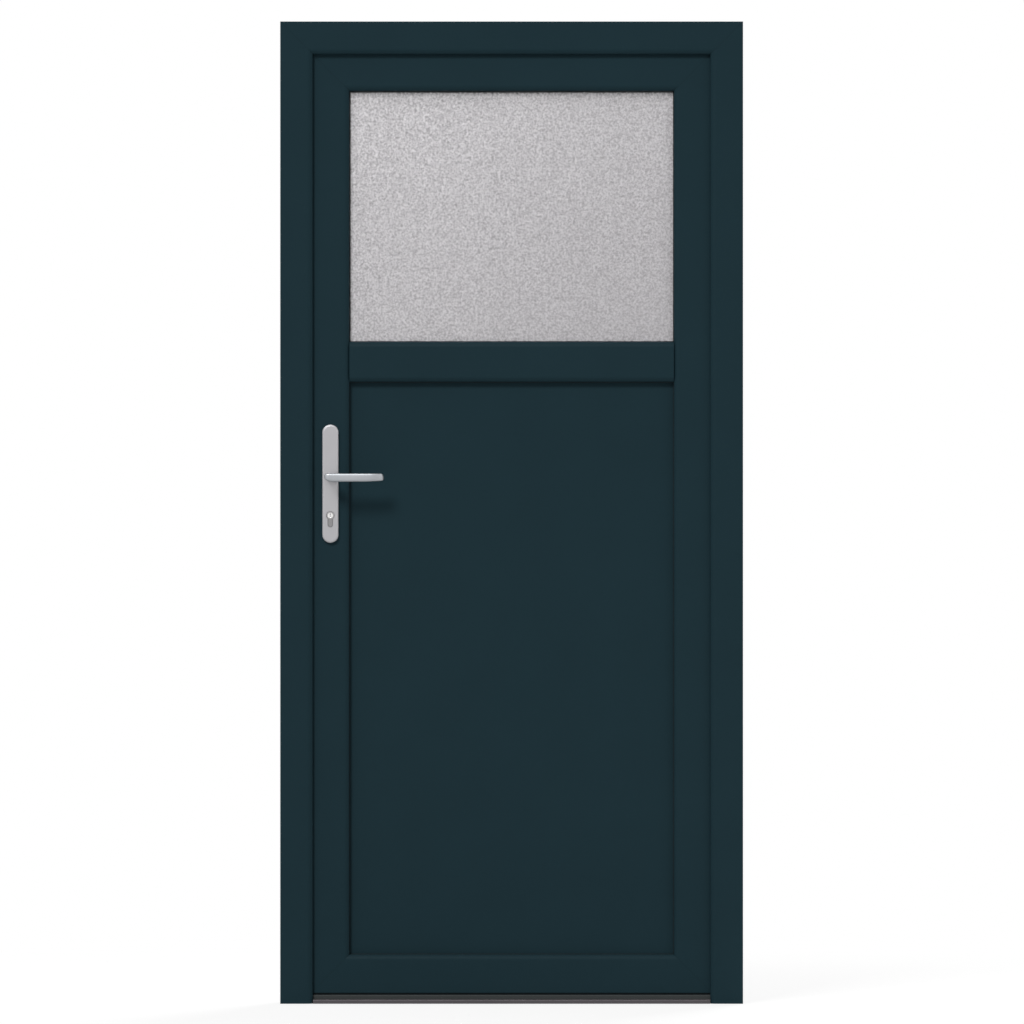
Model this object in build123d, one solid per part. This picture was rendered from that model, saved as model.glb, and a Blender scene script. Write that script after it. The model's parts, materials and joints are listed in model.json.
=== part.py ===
from build123d import *
import os
from math import radians, sin

# A panelled entrance door in its frame: hollow plastic profiles with steel inside, a glass unit
# above the middle rail and a flat panel below it, lever handles, a mortise lock and three hinges.
# The leaf opens into the house. Millimetres. The origin is on the underside of the threshold,
# at the middle of the opening and of the frame's depth. X is to the right seen from outside,
# Y goes into the house and Z is up, so the outside face looks to -Y.
# Profile sections are drawn in (u, y): u runs inwards from the outer edge of the rectangle that
# the profile goes round, and y is the true depth.

# Frame: overall size and profile
frame_width = 980.0
frame_height = 2080.0
frame_depth = 70.0
frame_body = 49.0
frame_lip = 20.0
lip_thickness = 12.5
lip_slope = 8.0
lip_slope_drop = 5.0
edge_round = 1.5
outer_wall = 3.0
web = 1.5
frame_side_chamber = 5.0
frame_front_chamber = 8.5

# Leaf: profile and how it sits in the frame
seal_gap = 3.5
rebate_air = 12.0
leaf_overlap = 8.0
sash_depth = 70.0
sash_width = 85.0
glazing_lip = 18.0
glazing_lip_thickness = 16.0
bevel_width = 8.0
bevel_drop = 5.0
bevel_round = 12.0
nose_round = 5.0
sash_front_chamber = 6.0
sash_steel_depth = 24.0
sash_side_chamber = 14.0
leaf_bottom = 22.4
leaf_lip_bottom = 103.0
leg_bottom = 10.0
mid_rail_centre = 1359.5
mid_rail_body = 49.0

# Hardware groove along the leaf's edge
groove_width = 16.0
groove_depth = 3.0
groove_centre_y = 25.5
hardware_chamber = 17.0

# Steel stiffeners
steel_wall = 2.0
steel_gap = 0.3
steel_setback = 5.0

# Infill
unit_thickness = 24.0
pane_thickness = 4.0
edge_play = 5.0
gasket_thickness = 3.5
gasket_cover = 8.0
gasket_proud = 1.5
spacer_width = 7.0
spacer_wall = 0.8
bead_seal = 2.5
bead_foot = 2.6
bead_foot_thick = 2.6
bead_foot_from_back = 9.8
bead_foot_play = 0.3
bead_slope = 6.0
block_length = 100.0
block_from_corner = 60.0
scribe_gap = 0.1

# Seals
seal_clear = 0.3
frame_seal_width = 9.0
frame_seal_from_lip = 2.5
leaf_seal_width = 6.0
leaf_seal_from_edge = 1.0
threshold_seal_width = 10.0
threshold_seal_from_face = 2.0

# Threshold
threshold_height = 18.0
threshold_lip = 9.0
threshold_wall = 2.0
threshold_step_back = 1.5
threshold_chambers = 3
threshold_end_gap = 0.3
tread_groove = 1.6
tread_groove_depth = 0.7
tread_grooves = 5

# Fixing holes through the jambs
fixing_hole = 8.0
fixing_y = 10.0
fixings_from_sill = (140.0, 720.0)
fixings_from_head = (740.0, 140.0)

# Hinges
hinge_from_end = 230.0
hinge_axis_inset = 35.0
barrel_radius = 10.0
barrel_air = 1.0
hinge_height = 120.0
end_knuckle = 30.0
pin_radius = 4.0
running_fit = 0.06
fixed_fit = 0.05
bush_wall = 2.5
bush_flange = 1.6
bush_flange_radius = 9.0
free_gap = 0.3
hinge_plate = 4.5
frame_plate_width = 34.0
frame_plate_edge = 3.0
leaf_plate_width = 44.0
leaf_plate_air = 12.0
hinge_arm = 10.0
hinge_cap = 3.0
hinge_cap_stub = 1.5
frame_screw_inset = 18.0
leaf_screw_inset = 85.0
hinge_screw_spacing = 30.0
hinge_screws_each = 4

# Countersunk screws
screw_radius = 2.4
screw_head_radius = 4.4
screw_head_depth = 2.2
screw_head_rim = 0.3
screw_gap = 0.1
frame_screw_length = 32.0
leaf_screw_length = 45.0
lock_screw_length = 22.0
strike_screw_length = 26.0

# Lock: backset, heights and case
backset = 45.0
spindle_height = 1115.0
lever_to_cylinder = 81.0
case_depth_u = 59.0
case_below_cylinder = 36.0
case_above_spindle = 57.0
case_thickness = 16.0
case_wall = 2.0
faceplate_reach = 68.0
faceplate_side_gap = 0.1
lock_gap = 0.4
latch_above_spindle = 19.0
latch_height = 22.0
latch_throw = 11.5
latch_flat = 3.0
latch_block = 30.5
latch_tail_above_spindle = 12.0
latch_tail_height = 23.0
latch_tail_thick = 4.0
latch_tail_end = 3.0
bolt_above_cylinder = 18.0
bolt_height = 28.0
bolt_throw = 18.0
bolt_length = 30.0
bolt_tail_above_cam = 1.2
bolt_tail_height = 25.8
bolt_tail_end = 44.0
follower_radius = 10.5
follower_journal = 8.0
arm_reach = 17.0
arm_width = 5.0
arm_lean = 20.0
arm_play = 1.9

# Strike plate on the lock jamb
strike_thickness = 8.0
strike_reach = 18.0
strike_outer_y = 12.0
strike_inner_gap = 0.3
strike_pocket_gap = 0.7
strike_pocket_end_gap = 3.0
strike_screw_y = 17.0
strike_screw_inset = 13.0
strike_screw_below_bolt = 22.0
bolt_pocket_play = 1.0

# Profile cylinder
cylinder_round = 17.0
cylinder_stem = 10.0
cylinder_height = 33.0
cylinder_outside = 55.0
cylinder_inside = 35.0
cylinder_clear = 0.4
cam_width = 10.0
cam_reach = 13.0
cam_finger = 7.0
cam_gap = 0.35
plug_radius = 6.3
keyway_width = 2.2
keyway_height = 8.6
keyway_depth = 24.0

# Back plates and levers
plate_width = 34.0
plate_below_cylinder = 58.0
plate_above_spindle = 111.5
plate_thickness = 9.5
inside_plate_thickness = 9.0
plate_rim = 3.0
plate_rim_drop = 2.0
plate_skin = 3.0
plate_screw_inset = 14.0
plate_post = 4.8
plate_screw_radius = 2.5
plate_bearing = 12.5
spindle_side = 8.0
spindle_play = 0.1
spindle_hole = 10.0
lever_neck = 8.5
lever_height = 17.0
lever_head = 12.0
lever_length = 114.0
lever_projection = 50.0
lever_grip = 11.0
lever_return = 6.0
lever_return_length = 24.0
lever_taper = 2.5
lever_taper_length = 34.0
lever_edge = 2.4
lever_neck_depth = 8.0

# Places that follow from the sizes above
half_width = frame_width / 2
face_y = -frame_depth / 2
back_y = frame_depth / 2
lip_back_y = face_y + lip_thickness
lip_edge_u = frame_body + frame_lip
sash_face_y = lip_back_y + seal_gap
sash_back_y = sash_face_y + sash_depth
leg_y = back_y + seal_gap
leg_edge_u = frame_body - leaf_overlap
sash_edge_u = frame_body + rebate_air
sash_lip_u = sash_edge_u + sash_width
sash_base_u = sash_lip_u - glazing_lip
sash_lip_back_y = sash_face_y + glazing_lip_thickness
unit_face_y = sash_lip_back_y + gasket_thickness
unit_back_y = unit_face_y + unit_thickness
groove_y = (groove_centre_y - groove_width / 2, groove_centre_y + groove_width / 2)
chamber_y = (groove_centre_y - hardware_chamber / 2, groove_centre_y + hardware_chamber / 2)
sash_steel_y = (chamber_y[0] - web - sash_steel_depth, chamber_y[0] - web)
sash_steel_u = (sash_edge_u + outer_wall + sash_side_chamber + web, sash_base_u - outer_wall)
frame_steel_u = (
    outer_wall + frame_side_chamber + web,
    frame_body - outer_wall - frame_side_chamber - web,
)
frame_steel_y = (
    face_y + outer_wall + frame_front_chamber + web,
    back_y - outer_wall - frame_front_chamber - web,
)
frame_rect = (-half_width, half_width, 0.0, frame_height)
fixing_heights = (*fixings_from_sill, *(frame_height - place for place in fixings_from_head))
hinge_heights = (hinge_from_end, frame_height / 2, frame_height - hinge_from_end)
leaf_rect = (-half_width, half_width, leaf_lip_bottom - sash_lip_u, frame_height)
opening_half = half_width - sash_base_u
rail_low = mid_rail_centre - mid_rail_body / 2
rail_high = mid_rail_centre + mid_rail_body / 2
glass_rect = (-opening_half, opening_half, rail_high, frame_height - sash_base_u)
panel_rect = (-opening_half, opening_half, leaf_rect[2] + sash_base_u, rail_low)
lock_x = -half_width + sash_edge_u + backset
edge_x = -half_width + sash_edge_u
case_y = (groove_centre_y - case_thickness / 2, groove_centre_y + case_thickness / 2)
case_x = (edge_x + groove_depth, edge_x + groove_depth + case_depth_u)
works_y = (case_y[0] + case_wall + lock_gap, case_y[1] - case_wall - lock_gap)
strike_face_x = -half_width + frame_body + strike_thickness
cylinder_z = spindle_height - lever_to_cylinder
case_z = (cylinder_z - case_below_cylinder, spindle_height + case_above_spindle)
faceplate_z = (case_z[0] - faceplate_reach, case_z[1] + faceplate_reach)
latch_low = spindle_height + latch_above_spindle
latch_z = (latch_low, latch_low + latch_height)
latch_tail_low = spindle_height + latch_tail_above_spindle
bolt_low = cylinder_z + bolt_above_cylinder
bolt_z = (bolt_low, bolt_low + bolt_height)
bolt_tail_low = cylinder_z + cam_reach + bolt_tail_above_cam
strike_z = (case_z[0] - strike_reach, case_z[1] + strike_reach)
strike_screw_heights = (
    strike_z[0] + strike_screw_inset, bolt_z[0] - strike_screw_below_bolt,
    (bolt_z[1] + latch_z[0]) / 2, strike_z[1] - strike_screw_inset,
)
plate_z = (cylinder_z - plate_below_cylinder, spindle_height + plate_above_spindle)
stem_drop = cylinder_height - cylinder_round / 2 - cylinder_stem / 2
cylinder_y = (groove_centre_y - cylinder_outside, groove_centre_y + cylinder_inside)
plate_out_y = sash_face_y - plate_thickness
plate_in_y = sash_back_y + inside_plate_thickness
plate_screw_heights = (plate_z[0] + plate_screw_inset, plate_z[1] - plate_screw_inset)
hinge_x = half_width - hinge_axis_inset
hinge_y = sash_back_y + barrel_air + barrel_radius
arm_tip_x = lock_x - arm_reach * sin(radians(arm_lean))
everything = 3 * frame_height

LOW = (Align.MIN, Align.MIN, Align.MIN)
TO_INSIDE = Rot(-90, 0, 0)
TO_RIGHT = Rot(0, 90, 0)
TO_LEFT = Rot(0, -90, 0)

nodes = {}


def keep(name, *solids):
    """Hold the solids of one named piece."""
    nodes[name] = [s for solid in solids for s in solid.solids()]


def outline(points, rounds=None):
    """Face inside a closed line through the points, with the numbered corners rounded."""
    face = make_face(Polyline(*points, close=True))
    for number, radius in (rounds or {}).items():
        corner = face.vertices().sort_by_distance(Vector(*points[number]))[0]
        face = fillet(corner, radius)
    return face


def chamber(u_range, y_range):
    """Rectangular hollow of a profile section."""
    u0, u1 = u_range
    y0, y1 = y_range
    return Pos((u0 + u1) / 2, (y0 + y1) / 2) * Rectangle(u1 - u0, y1 - y0)


def block(x_range, y_range, z_range):
    """Box between two places along each axis."""
    sizes = [b - a for a, b in (x_range, y_range, z_range)]
    return Pos(x_range[0], y_range[0], z_range[0]) * Box(*sizes, align=LOW)


def across(face, x, z, y_range):
    """Solid of a face drawn in (x, z), reaching from one depth to another."""
    return Pos(x, y_range[1], z) * extrude(Plane.XZ * face, amount=y_range[1] - y_range[0])


def upright(radius, x, y, z_range):
    """Round bar standing along Z."""
    low = (Align.CENTER, Align.CENTER, Align.MIN)
    return Pos(x, y, z_range[0]) * Cylinder(radius, z_range[1] - z_range[0], align=low)


def sideways(radius, x_range, y, z):
    """Round bar lying along X."""
    low = (Align.CENTER, Align.CENTER, Align.MIN)
    return Pos(x_range[0], y, z) * TO_RIGHT * Cylinder(radius, x_range[1] - x_range[0], align=low)


def side_plane(side, rect):
    """Plane at the start of one side of a rectangle: its x is u, its y is the depth."""
    x0, x1, z0, z1 = rect
    return {
        "left": Plane(origin=(x0, 0, z0), x_dir=(1, 0, 0), z_dir=(0, 0, 1)),
        "right": Plane(origin=(x1, 0, z1), x_dir=(-1, 0, 0), z_dir=(0, 0, -1)),
        "top": Plane(origin=(x0, 0, z1), x_dir=(0, 0, -1), z_dir=(1, 0, 0)),
        "bottom": Plane(origin=(x1, 0, z0), x_dir=(0, 0, 1), z_dir=(-1, 0, 0)),
    }[side]


def side_length(side, rect):
    """Length of one side of a rectangle."""
    return rect[3] - rect[2] if side in ("left", "right") else rect[1] - rect[0]


def member(side, section, rect, square_foot=False):
    """Profile along one side of a rectangle, mitred where it meets the next side."""
    length = side_length(side, rect)
    reach = sash_lip_u + web
    start = 0 if square_foot and side == "left" else reach
    end = 0 if square_foot and side == "right" else reach
    corners = [(-reach, -start), (reach, start), (reach, length - end), (-reach, length + end)]
    kept = extrude(Plane.XZ * outline(corners), amount=everything, both=True)
    return side_plane(side, rect) * (extrude(section, length) & kept)


def ring(section, rect):
    """One closed frame of a section round a rectangle."""
    sides = [member(side, section, rect) for side in ("left", "top", "right", "bottom")]
    return sides[0] + sides[1:]


def square_bar(side, section, rect, start, end):
    """Square-cut bar along one side, from start to end along that side."""
    return side_plane(side, rect) * Pos(0, 0, start) * extrude(section, end - start)


def tube(u_range, y_range, wall):
    """Section of a rectangular tube."""
    inner_u = (u_range[0] + wall, u_range[1] - wall)
    inner_y = (y_range[0] + wall, y_range[1] - wall)
    return chamber(u_range, y_range) - chamber(inner_u, inner_y)


def shrink(span, gap):
    """Span with a gap taken off each end."""
    return (span[0] + gap, span[1] - gap)


def turned(points, axis=Axis.Z):
    """Solid turned from a half section drawn in (radius, height)."""
    return revolve(Plane.XZ * outline(points), axis)


def screw_form(length, grow=0.0):
    """Countersunk screw with its head's top at the origin, pointing down."""
    head = screw_head_radius + grow
    shank = screw_radius + grow
    return turned([(0, grow), (head, grow), (head, -screw_head_rim), (shank, -screw_head_depth),
                   (shank, -length + shank), (0, -length - grow)])


def screws(places, direction, length, grow=0.0):
    """Screws, or their holes where grow is set, with their heads at the places."""
    form = direction * screw_form(length, grow)
    return [Pos(*place) * form for place in places]


# Frame
def frame_section():
    """Frame profile: a body with the outside lip that the leaf closes against."""
    u1, u2 = frame_body, lip_edge_u
    points = [
        (0, face_y), (u2 - lip_slope, face_y), (u2, face_y + lip_slope_drop), (u2, lip_back_y),
        (u1, lip_back_y), (u1, back_y), (0, back_y),
    ]
    rounds = {0: edge_round, 1: bevel_round, 2: nose_round, 5: edge_round, 6: edge_round}
    face = outline(points, rounds)
    middle = u1 / 2
    halves = ((outer_wall, middle - web / 2), (middle + web / 2, u1 - outer_wall))
    front = (face_y + outer_wall, frame_steel_y[0] - web)
    back = (frame_steel_y[1] + web, back_y - outer_wall)
    hollows = [chamber(half, row) for half in halves for row in (front, back)]
    hollows += [
        chamber(frame_steel_u, frame_steel_y),
        chamber((outer_wall, frame_steel_u[0] - web), frame_steel_y),
        chamber((frame_steel_u[1] + web, u1 - outer_wall), frame_steel_y),
        chamber((u1 - outer_wall + web, u2 - lip_slope), (front[0], lip_back_y - outer_wall)),
    ]
    return face - hollows


def fixing_holes():
    """Clear holes through both jambs for the fixings into the wall."""
    span = (-half_width - web, half_width + web)
    return [sideways(fixing_hole / 2, span, fixing_y, z) for z in fixing_heights]


def hinge_screw_places(x, y):
    """Head centres of the screws of all three hinges, in one column each."""
    middle = (hinge_screws_each - 1) / 2
    rows = [(i - middle) * hinge_screw_spacing for i in range(hinge_screws_each)]
    return [(x, y, height + row) for height in hinge_heights for row in rows]


def strike_screw_places():
    """Head centres of the strike plate's screws."""
    return [(strike_face_x, strike_screw_y, z) for z in strike_screw_heights]


def bolt_pocket():
    """Room for the thrown deadbolt behind the jamb's rebate wall."""
    wall_x = -half_width + frame_body
    depth = bolt_throw - rebate_air + bolt_pocket_play
    z_range = shrink(bolt_z, -strike_pocket_end_gap)
    return block((wall_x - depth, wall_x + web), shrink(works_y, -strike_pocket_gap), z_range)


frame_hinge_screws = hinge_screw_places(half_width - frame_screw_inset, back_y + hinge_plate)
frame_cuts = fixing_holes()
frame_cuts += screws(frame_hinge_screws, TO_INSIDE, frame_screw_length, screw_gap)
frame_cuts += screws(strike_screw_places(), TO_RIGHT, strike_screw_length, screw_gap)

frame_profile = frame_section()
jamb_lock = member("left", frame_profile, frame_rect, square_foot=True)
jamb_hinge = member("right", frame_profile, frame_rect, square_foot=True)
keep("frame_jamb_lock", jamb_lock - frame_cuts - bolt_pocket())
keep("frame_jamb_hinge", jamb_hinge - frame_cuts)
keep("frame_head", member("top", frame_profile, frame_rect))

frame_tube = tube(shrink(frame_steel_u, steel_gap), shrink(frame_steel_y, steel_gap), steel_wall)
frame_steel_end = frame_steel_u[1] + steel_setback
jamb_top = frame_height - frame_steel_end
head_end = frame_width - frame_steel_end
steel_foot = steel_setback
keep("steel_jamb_lock", square_bar("left", frame_tube, frame_rect, steel_foot, jamb_top) - frame_cuts)
keep(
    "steel_jamb_hinge",
    square_bar("right", frame_tube, frame_rect, frame_steel_end, frame_height - steel_foot)
    - frame_cuts,
)
keep("steel_head", square_bar("top", frame_tube, frame_rect, frame_steel_end, head_end))


# Frame seal on the back of the lip, from the threshold up and round the head
def frame_seal_section():
    """Seal strip with a rounded crown that stops just short of the leaf's face."""
    u0 = lip_edge_u - frame_seal_from_lip - frame_seal_width
    u1 = u0 + frame_seal_width
    crown = sash_face_y - seal_clear
    points = [(u0, lip_back_y), (u1, lip_back_y), (u1, crown), (u0, crown)]
    return outline(points, {2: web, 3: web})


seal_rect = (-half_width, half_width, threshold_height + seal_clear, frame_height)
seal_sides = [member(s, frame_seal_section(), seal_rect, True) for s in ("left", "top", "right")]
keep("frame_seal", seal_sides[0] + seal_sides[1:])


# Threshold: one hollow profile between the jambs, its front lip between the jamb lips
def threshold_section():
    """Threshold in (y, z): low front lip, set-back step and a grooved tread."""
    step_y = lip_back_y + threshold_step_back
    points = [
        (face_y, 0), (back_y, 0), (back_y, threshold_height), (step_y, threshold_height),
        (step_y, threshold_lip), (face_y, threshold_lip),
    ]
    face = outline(points, {2: edge_round, 3: edge_round, 5: threshold_wall})
    pitch = (back_y - step_y - threshold_wall) / threshold_chambers
    rows = (threshold_wall, threshold_height - threshold_wall)
    for i in range(threshold_chambers):
        start = step_y + threshold_wall + i * pitch
        face -= chamber((start, start + pitch - threshold_wall), rows)
    lip_y = (face_y + threshold_wall, step_y)
    face -= chamber(lip_y, (threshold_wall, threshold_lip - threshold_wall))
    first = sash_face_y + threshold_seal_from_face + threshold_seal_width + tread_groove
    step = (back_y - edge_round - first) / tread_grooves
    for i in range(tread_grooves):
        y0 = first + i * step
        face -= chamber((y0, y0 + tread_groove),
                        (threshold_height - tread_groove_depth, threshold_height + web))
    return face


def along_x(section, half):
    """Profile drawn in (y, z), carried from -half to half along X."""
    return extrude(Plane.YZ * section, amount=half, both=True)


threshold_half = half_width - frame_body - threshold_end_gap
notch_half = half_width - lip_edge_u - threshold_end_gap
threshold = along_x(threshold_section(), threshold_half)
for sign in (-1, 1):
    ends = sorted((sign * notch_half, sign * half_width))
    threshold -= block(ends, (face_y - web, lip_back_y + threshold_end_gap), (-web, threshold_height + web))
keep("threshold", threshold)

seal_y = sash_face_y + threshold_seal_from_face
seal_top = leaf_bottom - seal_clear
threshold_seal = outline(
    [(seal_y, threshold_height), (seal_y + threshold_seal_width, threshold_height),
     (seal_y + threshold_seal_width, seal_top), (seal_y, seal_top)],
    {2: web, 3: web},
)
keep("threshold_seal", along_x(threshold_seal, threshold_half))


# Leaf profiles
def sash_outline():
    """Leaf profile without its hollows: body, glazing lip outside and overlap leg inside."""
    u0, u1, u2 = sash_edge_u, sash_base_u, sash_lip_u
    points = [
        (u0, sash_face_y), (u2 - bevel_width, sash_face_y), (u2, sash_face_y + bevel_drop),
        (u2, sash_lip_back_y), (u1, sash_lip_back_y), (u1, sash_back_y),
        (leg_edge_u, sash_back_y), (leg_edge_u, leg_y), (u0, leg_y),
        (u0, groove_y[1]), (u0 + groove_depth, groove_y[1]),
        (u0 + groove_depth, groove_y[0]), (u0, groove_y[0]),
    ]
    return outline(points, {1: bevel_round, 2: nose_round, 6: 2 * edge_round, 7: edge_round})


def foot_groove(base, inwards=-1):
    """Groove in a glazing rebate for the foot of a bead."""
    y1 = sash_back_y - bead_foot_from_back + bead_foot_thick + bead_foot_play
    y0 = sash_back_y - bead_foot_from_back - bead_foot_play
    depth = bead_foot + bead_foot_play
    return chamber(sorted((base, base + inwards * depth)), (y0, y1))


def sash_section():
    """Leaf profile with its chambers."""
    inner = sash_edge_u + outer_wall
    base = sash_base_u - outer_wall
    middle = (inner + base) / 2
    front = (sash_face_y + outer_wall, sash_face_y + outer_wall + sash_front_chamber)
    back = (chamber_y[1] + web, sash_back_y - outer_wall)
    behind_foot = base - bead_foot - bead_foot_play
    hollows = [
        chamber((inner, middle - web / 2), front),
        chamber((middle + web / 2, base), front),
        chamber((inner, sash_steel_u[0] - web), sash_steel_y),
        chamber(sash_steel_u, sash_steel_y),
        chamber((inner + groove_depth, base), chamber_y),
        chamber((inner, middle - web / 2), back),
        chamber((middle + web / 2, behind_foot), back),
        chamber((leg_edge_u + outer_wall, inner - web), (leg_y + outer_wall, back[1])),
        lip_chamber(sash_base_u),
    ]
    return sash_outline() - hollows - foot_groove(sash_base_u)


def lip_chamber(base, inwards=1):
    """Hollow of a glazing lip, beside the rebate base."""
    far = base + inwards * (glazing_lip - bevel_width + outer_wall)
    rows = (sash_face_y + outer_wall + web, sash_lip_back_y - outer_wall)
    return chamber(sorted((base - inwards * web, far)), rows)


# Lock furniture holes, cut through whatever they pass
def euro_profile(grow=0.0):
    """Outline of a profile cylinder in (x, z) about the centre of its round part."""
    radius = cylinder_round / 2 + grow
    half = cylinder_stem / 2 + grow
    stem = Pos(0, -stem_drop / 2) * Rectangle(2 * half, stem_drop)
    return Circle(radius) + stem + Pos(0, -stem_drop) * Circle(half)


def leaf_lock_cuts():
    """Holes through the lock stile for the spindle, the cylinder and the plate screws."""
    depth = (sash_face_y - web, sash_back_y + web)
    cuts = [
        across(Circle(spindle_hole), lock_x, spindle_height, depth),
        across(euro_profile(cylinder_clear), lock_x, cylinder_z, depth),
    ]
    hole = plate_screw_radius + lock_gap
    cuts += [across(Circle(hole), lock_x, z, depth) for z in plate_screw_heights]
    return cuts


faceplate_screw_heights = (
    faceplate_z[0] + plate_screw_inset, case_z[0] - plate_screw_inset,
    case_z[1] + plate_screw_inset, faceplate_z[1] - plate_screw_inset,
)
faceplate_screw_places = [(edge_x, groove_centre_y, z) for z in faceplate_screw_heights]
case_room = block(
    (edge_x - web, case_x[1] + lock_gap),
    shrink(case_y, -faceplate_side_gap),
    shrink(case_z, -lock_gap),
)
leaf_hinge_screws = hinge_screw_places(half_width - leaf_screw_inset, sash_back_y + hinge_plate)
rail_studs = [
    sideways(plate_screw_radius + lock_gap, sorted((s * opening_half, s * (opening_half + block_length))),
             sum(sash_steel_y) / 2, mid_rail_centre)
    for s in (-1, 1)
]
below_leaf = block(
    (-half_width, half_width), (sash_face_y - web, (back_y + leg_y) / 2), (-half_width, leaf_bottom)
)
below_leg = block((-half_width, half_width), (back_y, sash_back_y + web), (-half_width, leg_bottom))
feet = [below_leaf, below_leg]
lock_stile_cuts = leaf_lock_cuts() + [case_room, rail_studs[0]]
lock_stile_cuts += screws(faceplate_screw_places, TO_LEFT, lock_screw_length, screw_gap)
hinge_stile_cuts = screws(leaf_hinge_screws, TO_INSIDE, leaf_screw_length, screw_gap)
hinge_stile_cuts += [rail_studs[1]]

sash_profile = sash_section()
keep("sash_stile_lock", member("left", sash_profile, leaf_rect) - feet - lock_stile_cuts)
keep("sash_stile_hinge", member("right", sash_profile, leaf_rect) - feet - hinge_stile_cuts)
keep("sash_rail_top", member("top", sash_profile, leaf_rect))
keep("sash_rail_bottom", member("bottom", sash_profile, leaf_rect) - feet)


# Middle rail, drawn in (height from its centre, y)
def mid_rail_outline():
    """Middle rail: a body with a glazing lip above and one below."""
    half = mid_rail_body / 2
    lip = half + glazing_lip
    points = [
        (-lip + bevel_width, sash_face_y), (lip - bevel_width, sash_face_y),
        (lip, sash_face_y + bevel_drop), (lip, sash_lip_back_y), (half, sash_lip_back_y),
        (half, sash_back_y), (-half, sash_back_y), (-half, sash_lip_back_y),
        (-lip, sash_lip_back_y), (-lip, sash_face_y + bevel_drop),
    ]
    return outline(points, {0: bevel_round, 1: bevel_round, 2: nose_round, 9: nose_round})


def mid_rail_hollows():
    """Chambers that run right through, and those that plugs close just inside the rail's ends."""
    half = mid_rail_body / 2
    across_rail = (-half + outer_wall, half - outer_wall)
    front = (sash_face_y + outer_wall, sash_face_y + outer_wall + sash_front_chamber)
    back = (chamber_y[1] + web, sash_back_y - outer_wall)
    through = [chamber(across_rail, rows) for rows in (sash_steel_y, chamber_y)]
    through += [
        chamber(shrink(across_rail, bead_foot + bead_foot_play), back),
        foot_groove(half), foot_groove(-half, 1),
    ]
    return through, [chamber(across_rail, front), lip_chamber(half), lip_chamber(-half, -1)]


def rail_bar(section, half):
    """Bar along X at the height of the middle rail, from a section in (height, y)."""
    plane = Plane(origin=(-half, 0, mid_rail_centre), x_dir=(0, 0, -1), z_dir=(1, 0, 0))
    return plane * extrude(section, 2 * half)


# Its face and lips butt between the stiles' lips, and its body goes on behind them
rail_face_half = opening_half - glazing_lip - scribe_gap
lip_room = [
    block(sorted((sign * rail_face_half, sign * (opening_half + web))),
          (sash_face_y - web, sash_lip_back_y + scribe_gap),
          (rail_low - 2 * glazing_lip, rail_high + 2 * glazing_lip))
    for sign in (-1, 1)
]
rail_through, rail_plugged = mid_rail_hollows()
rail_hollows = [rail_bar(hollow, opening_half + web) for hollow in rail_through]
rail_hollows += [rail_bar(hollow, rail_face_half - outer_wall) for hollow in rail_plugged]
keep("mid_rail", rail_bar(mid_rail_outline(), opening_half) - rail_hollows - lip_room)

sash_tube = tube(shrink(sash_steel_u, steel_gap), shrink(sash_steel_y, steel_gap), steel_wall)
sash_steel_end = sash_steel_u[1] + steel_setback
leaf_height = side_length("left", leaf_rect)
stile_ends = (sash_steel_end, leaf_height - sash_steel_end)
rail_ends = (sash_steel_end, frame_width - sash_steel_end)
keep("steel_stile_lock", square_bar("left", sash_tube, leaf_rect, *stile_ends) - lock_stile_cuts)
keep("steel_stile_hinge", square_bar("right", sash_tube, leaf_rect, *stile_ends) - hinge_stile_cuts)
keep("steel_rail_top", square_bar("top", sash_tube, leaf_rect, *rail_ends))
keep("steel_rail_bottom", square_bar("bottom", sash_tube, leaf_rect, *rail_ends))

rail_steel_half = mid_rail_body / 2 - outer_wall - steel_gap
rail_tube = tube((-rail_steel_half, rail_steel_half), shrink(sash_steel_y, steel_gap), steel_wall)
rail_tube_half = opening_half - glazing_lip - steel_setback
keep("steel_mid_rail", rail_bar(rail_tube, rail_tube_half))


# T-connectors that hold the middle rail to the stiles: a block in the rail's tube and a stud
def rail_connector(sign):
    """Connector at one end of the middle rail."""
    half = rail_steel_half - steel_wall - steel_gap
    rows = (sash_lip_back_y + scribe_gap, sash_steel_y[1] - 2 * steel_gap - steel_wall)
    inner = rail_tube_half - block_length / 2
    body = block(sorted((sign * inner, sign * (opening_half - scribe_gap))), rows,
                 (mid_rail_centre - half, mid_rail_centre + half))
    reach = opening_half + block_length / 4
    return body + sideways(plate_screw_radius, sorted((sign * inner, sign * reach)),
                           sum(sash_steel_y) / 2, mid_rail_centre)


keep("mid_rail_connectors", rail_connector(-1), rail_connector(1))


# Infill: glass unit above, panel below
def slab(rect, y_range, play=edge_play):
    """Flat sheet inside a rebate, clear of it all round by the play."""
    return block(shrink(rect[:2], play), y_range, shrink(rect[2:], play))


def picture_frame(rect, outer, inner, y_range):
    """Square-edged ring between two insets of a rectangle."""
    return slab(rect, y_range, outer) - slab(rect, shrink(y_range, -web), inner)


inner_pane_y = unit_back_y - pane_thickness
gap_y = (unit_face_y + pane_thickness, inner_pane_y)
spacer_out = 2 * edge_play
spacer_in = spacer_out + spacer_width
keep("pane_outside", slab(glass_rect, (unit_face_y, gap_y[0])))
keep("pane_inside", slab(glass_rect, (inner_pane_y, unit_back_y)))
spacer = picture_frame(glass_rect, spacer_out, spacer_in, gap_y)
spacer_hollow = picture_frame(
    glass_rect, spacer_out + spacer_wall, spacer_in - spacer_wall, shrink(gap_y, spacer_wall)
)
keep("glass_spacer", spacer - spacer_hollow)
keep("glass_edge_seal", picture_frame(glass_rect, edge_play, spacer_out, gap_y))
keep("door_panel", slab(panel_rect, (unit_face_y, unit_back_y)))


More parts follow.
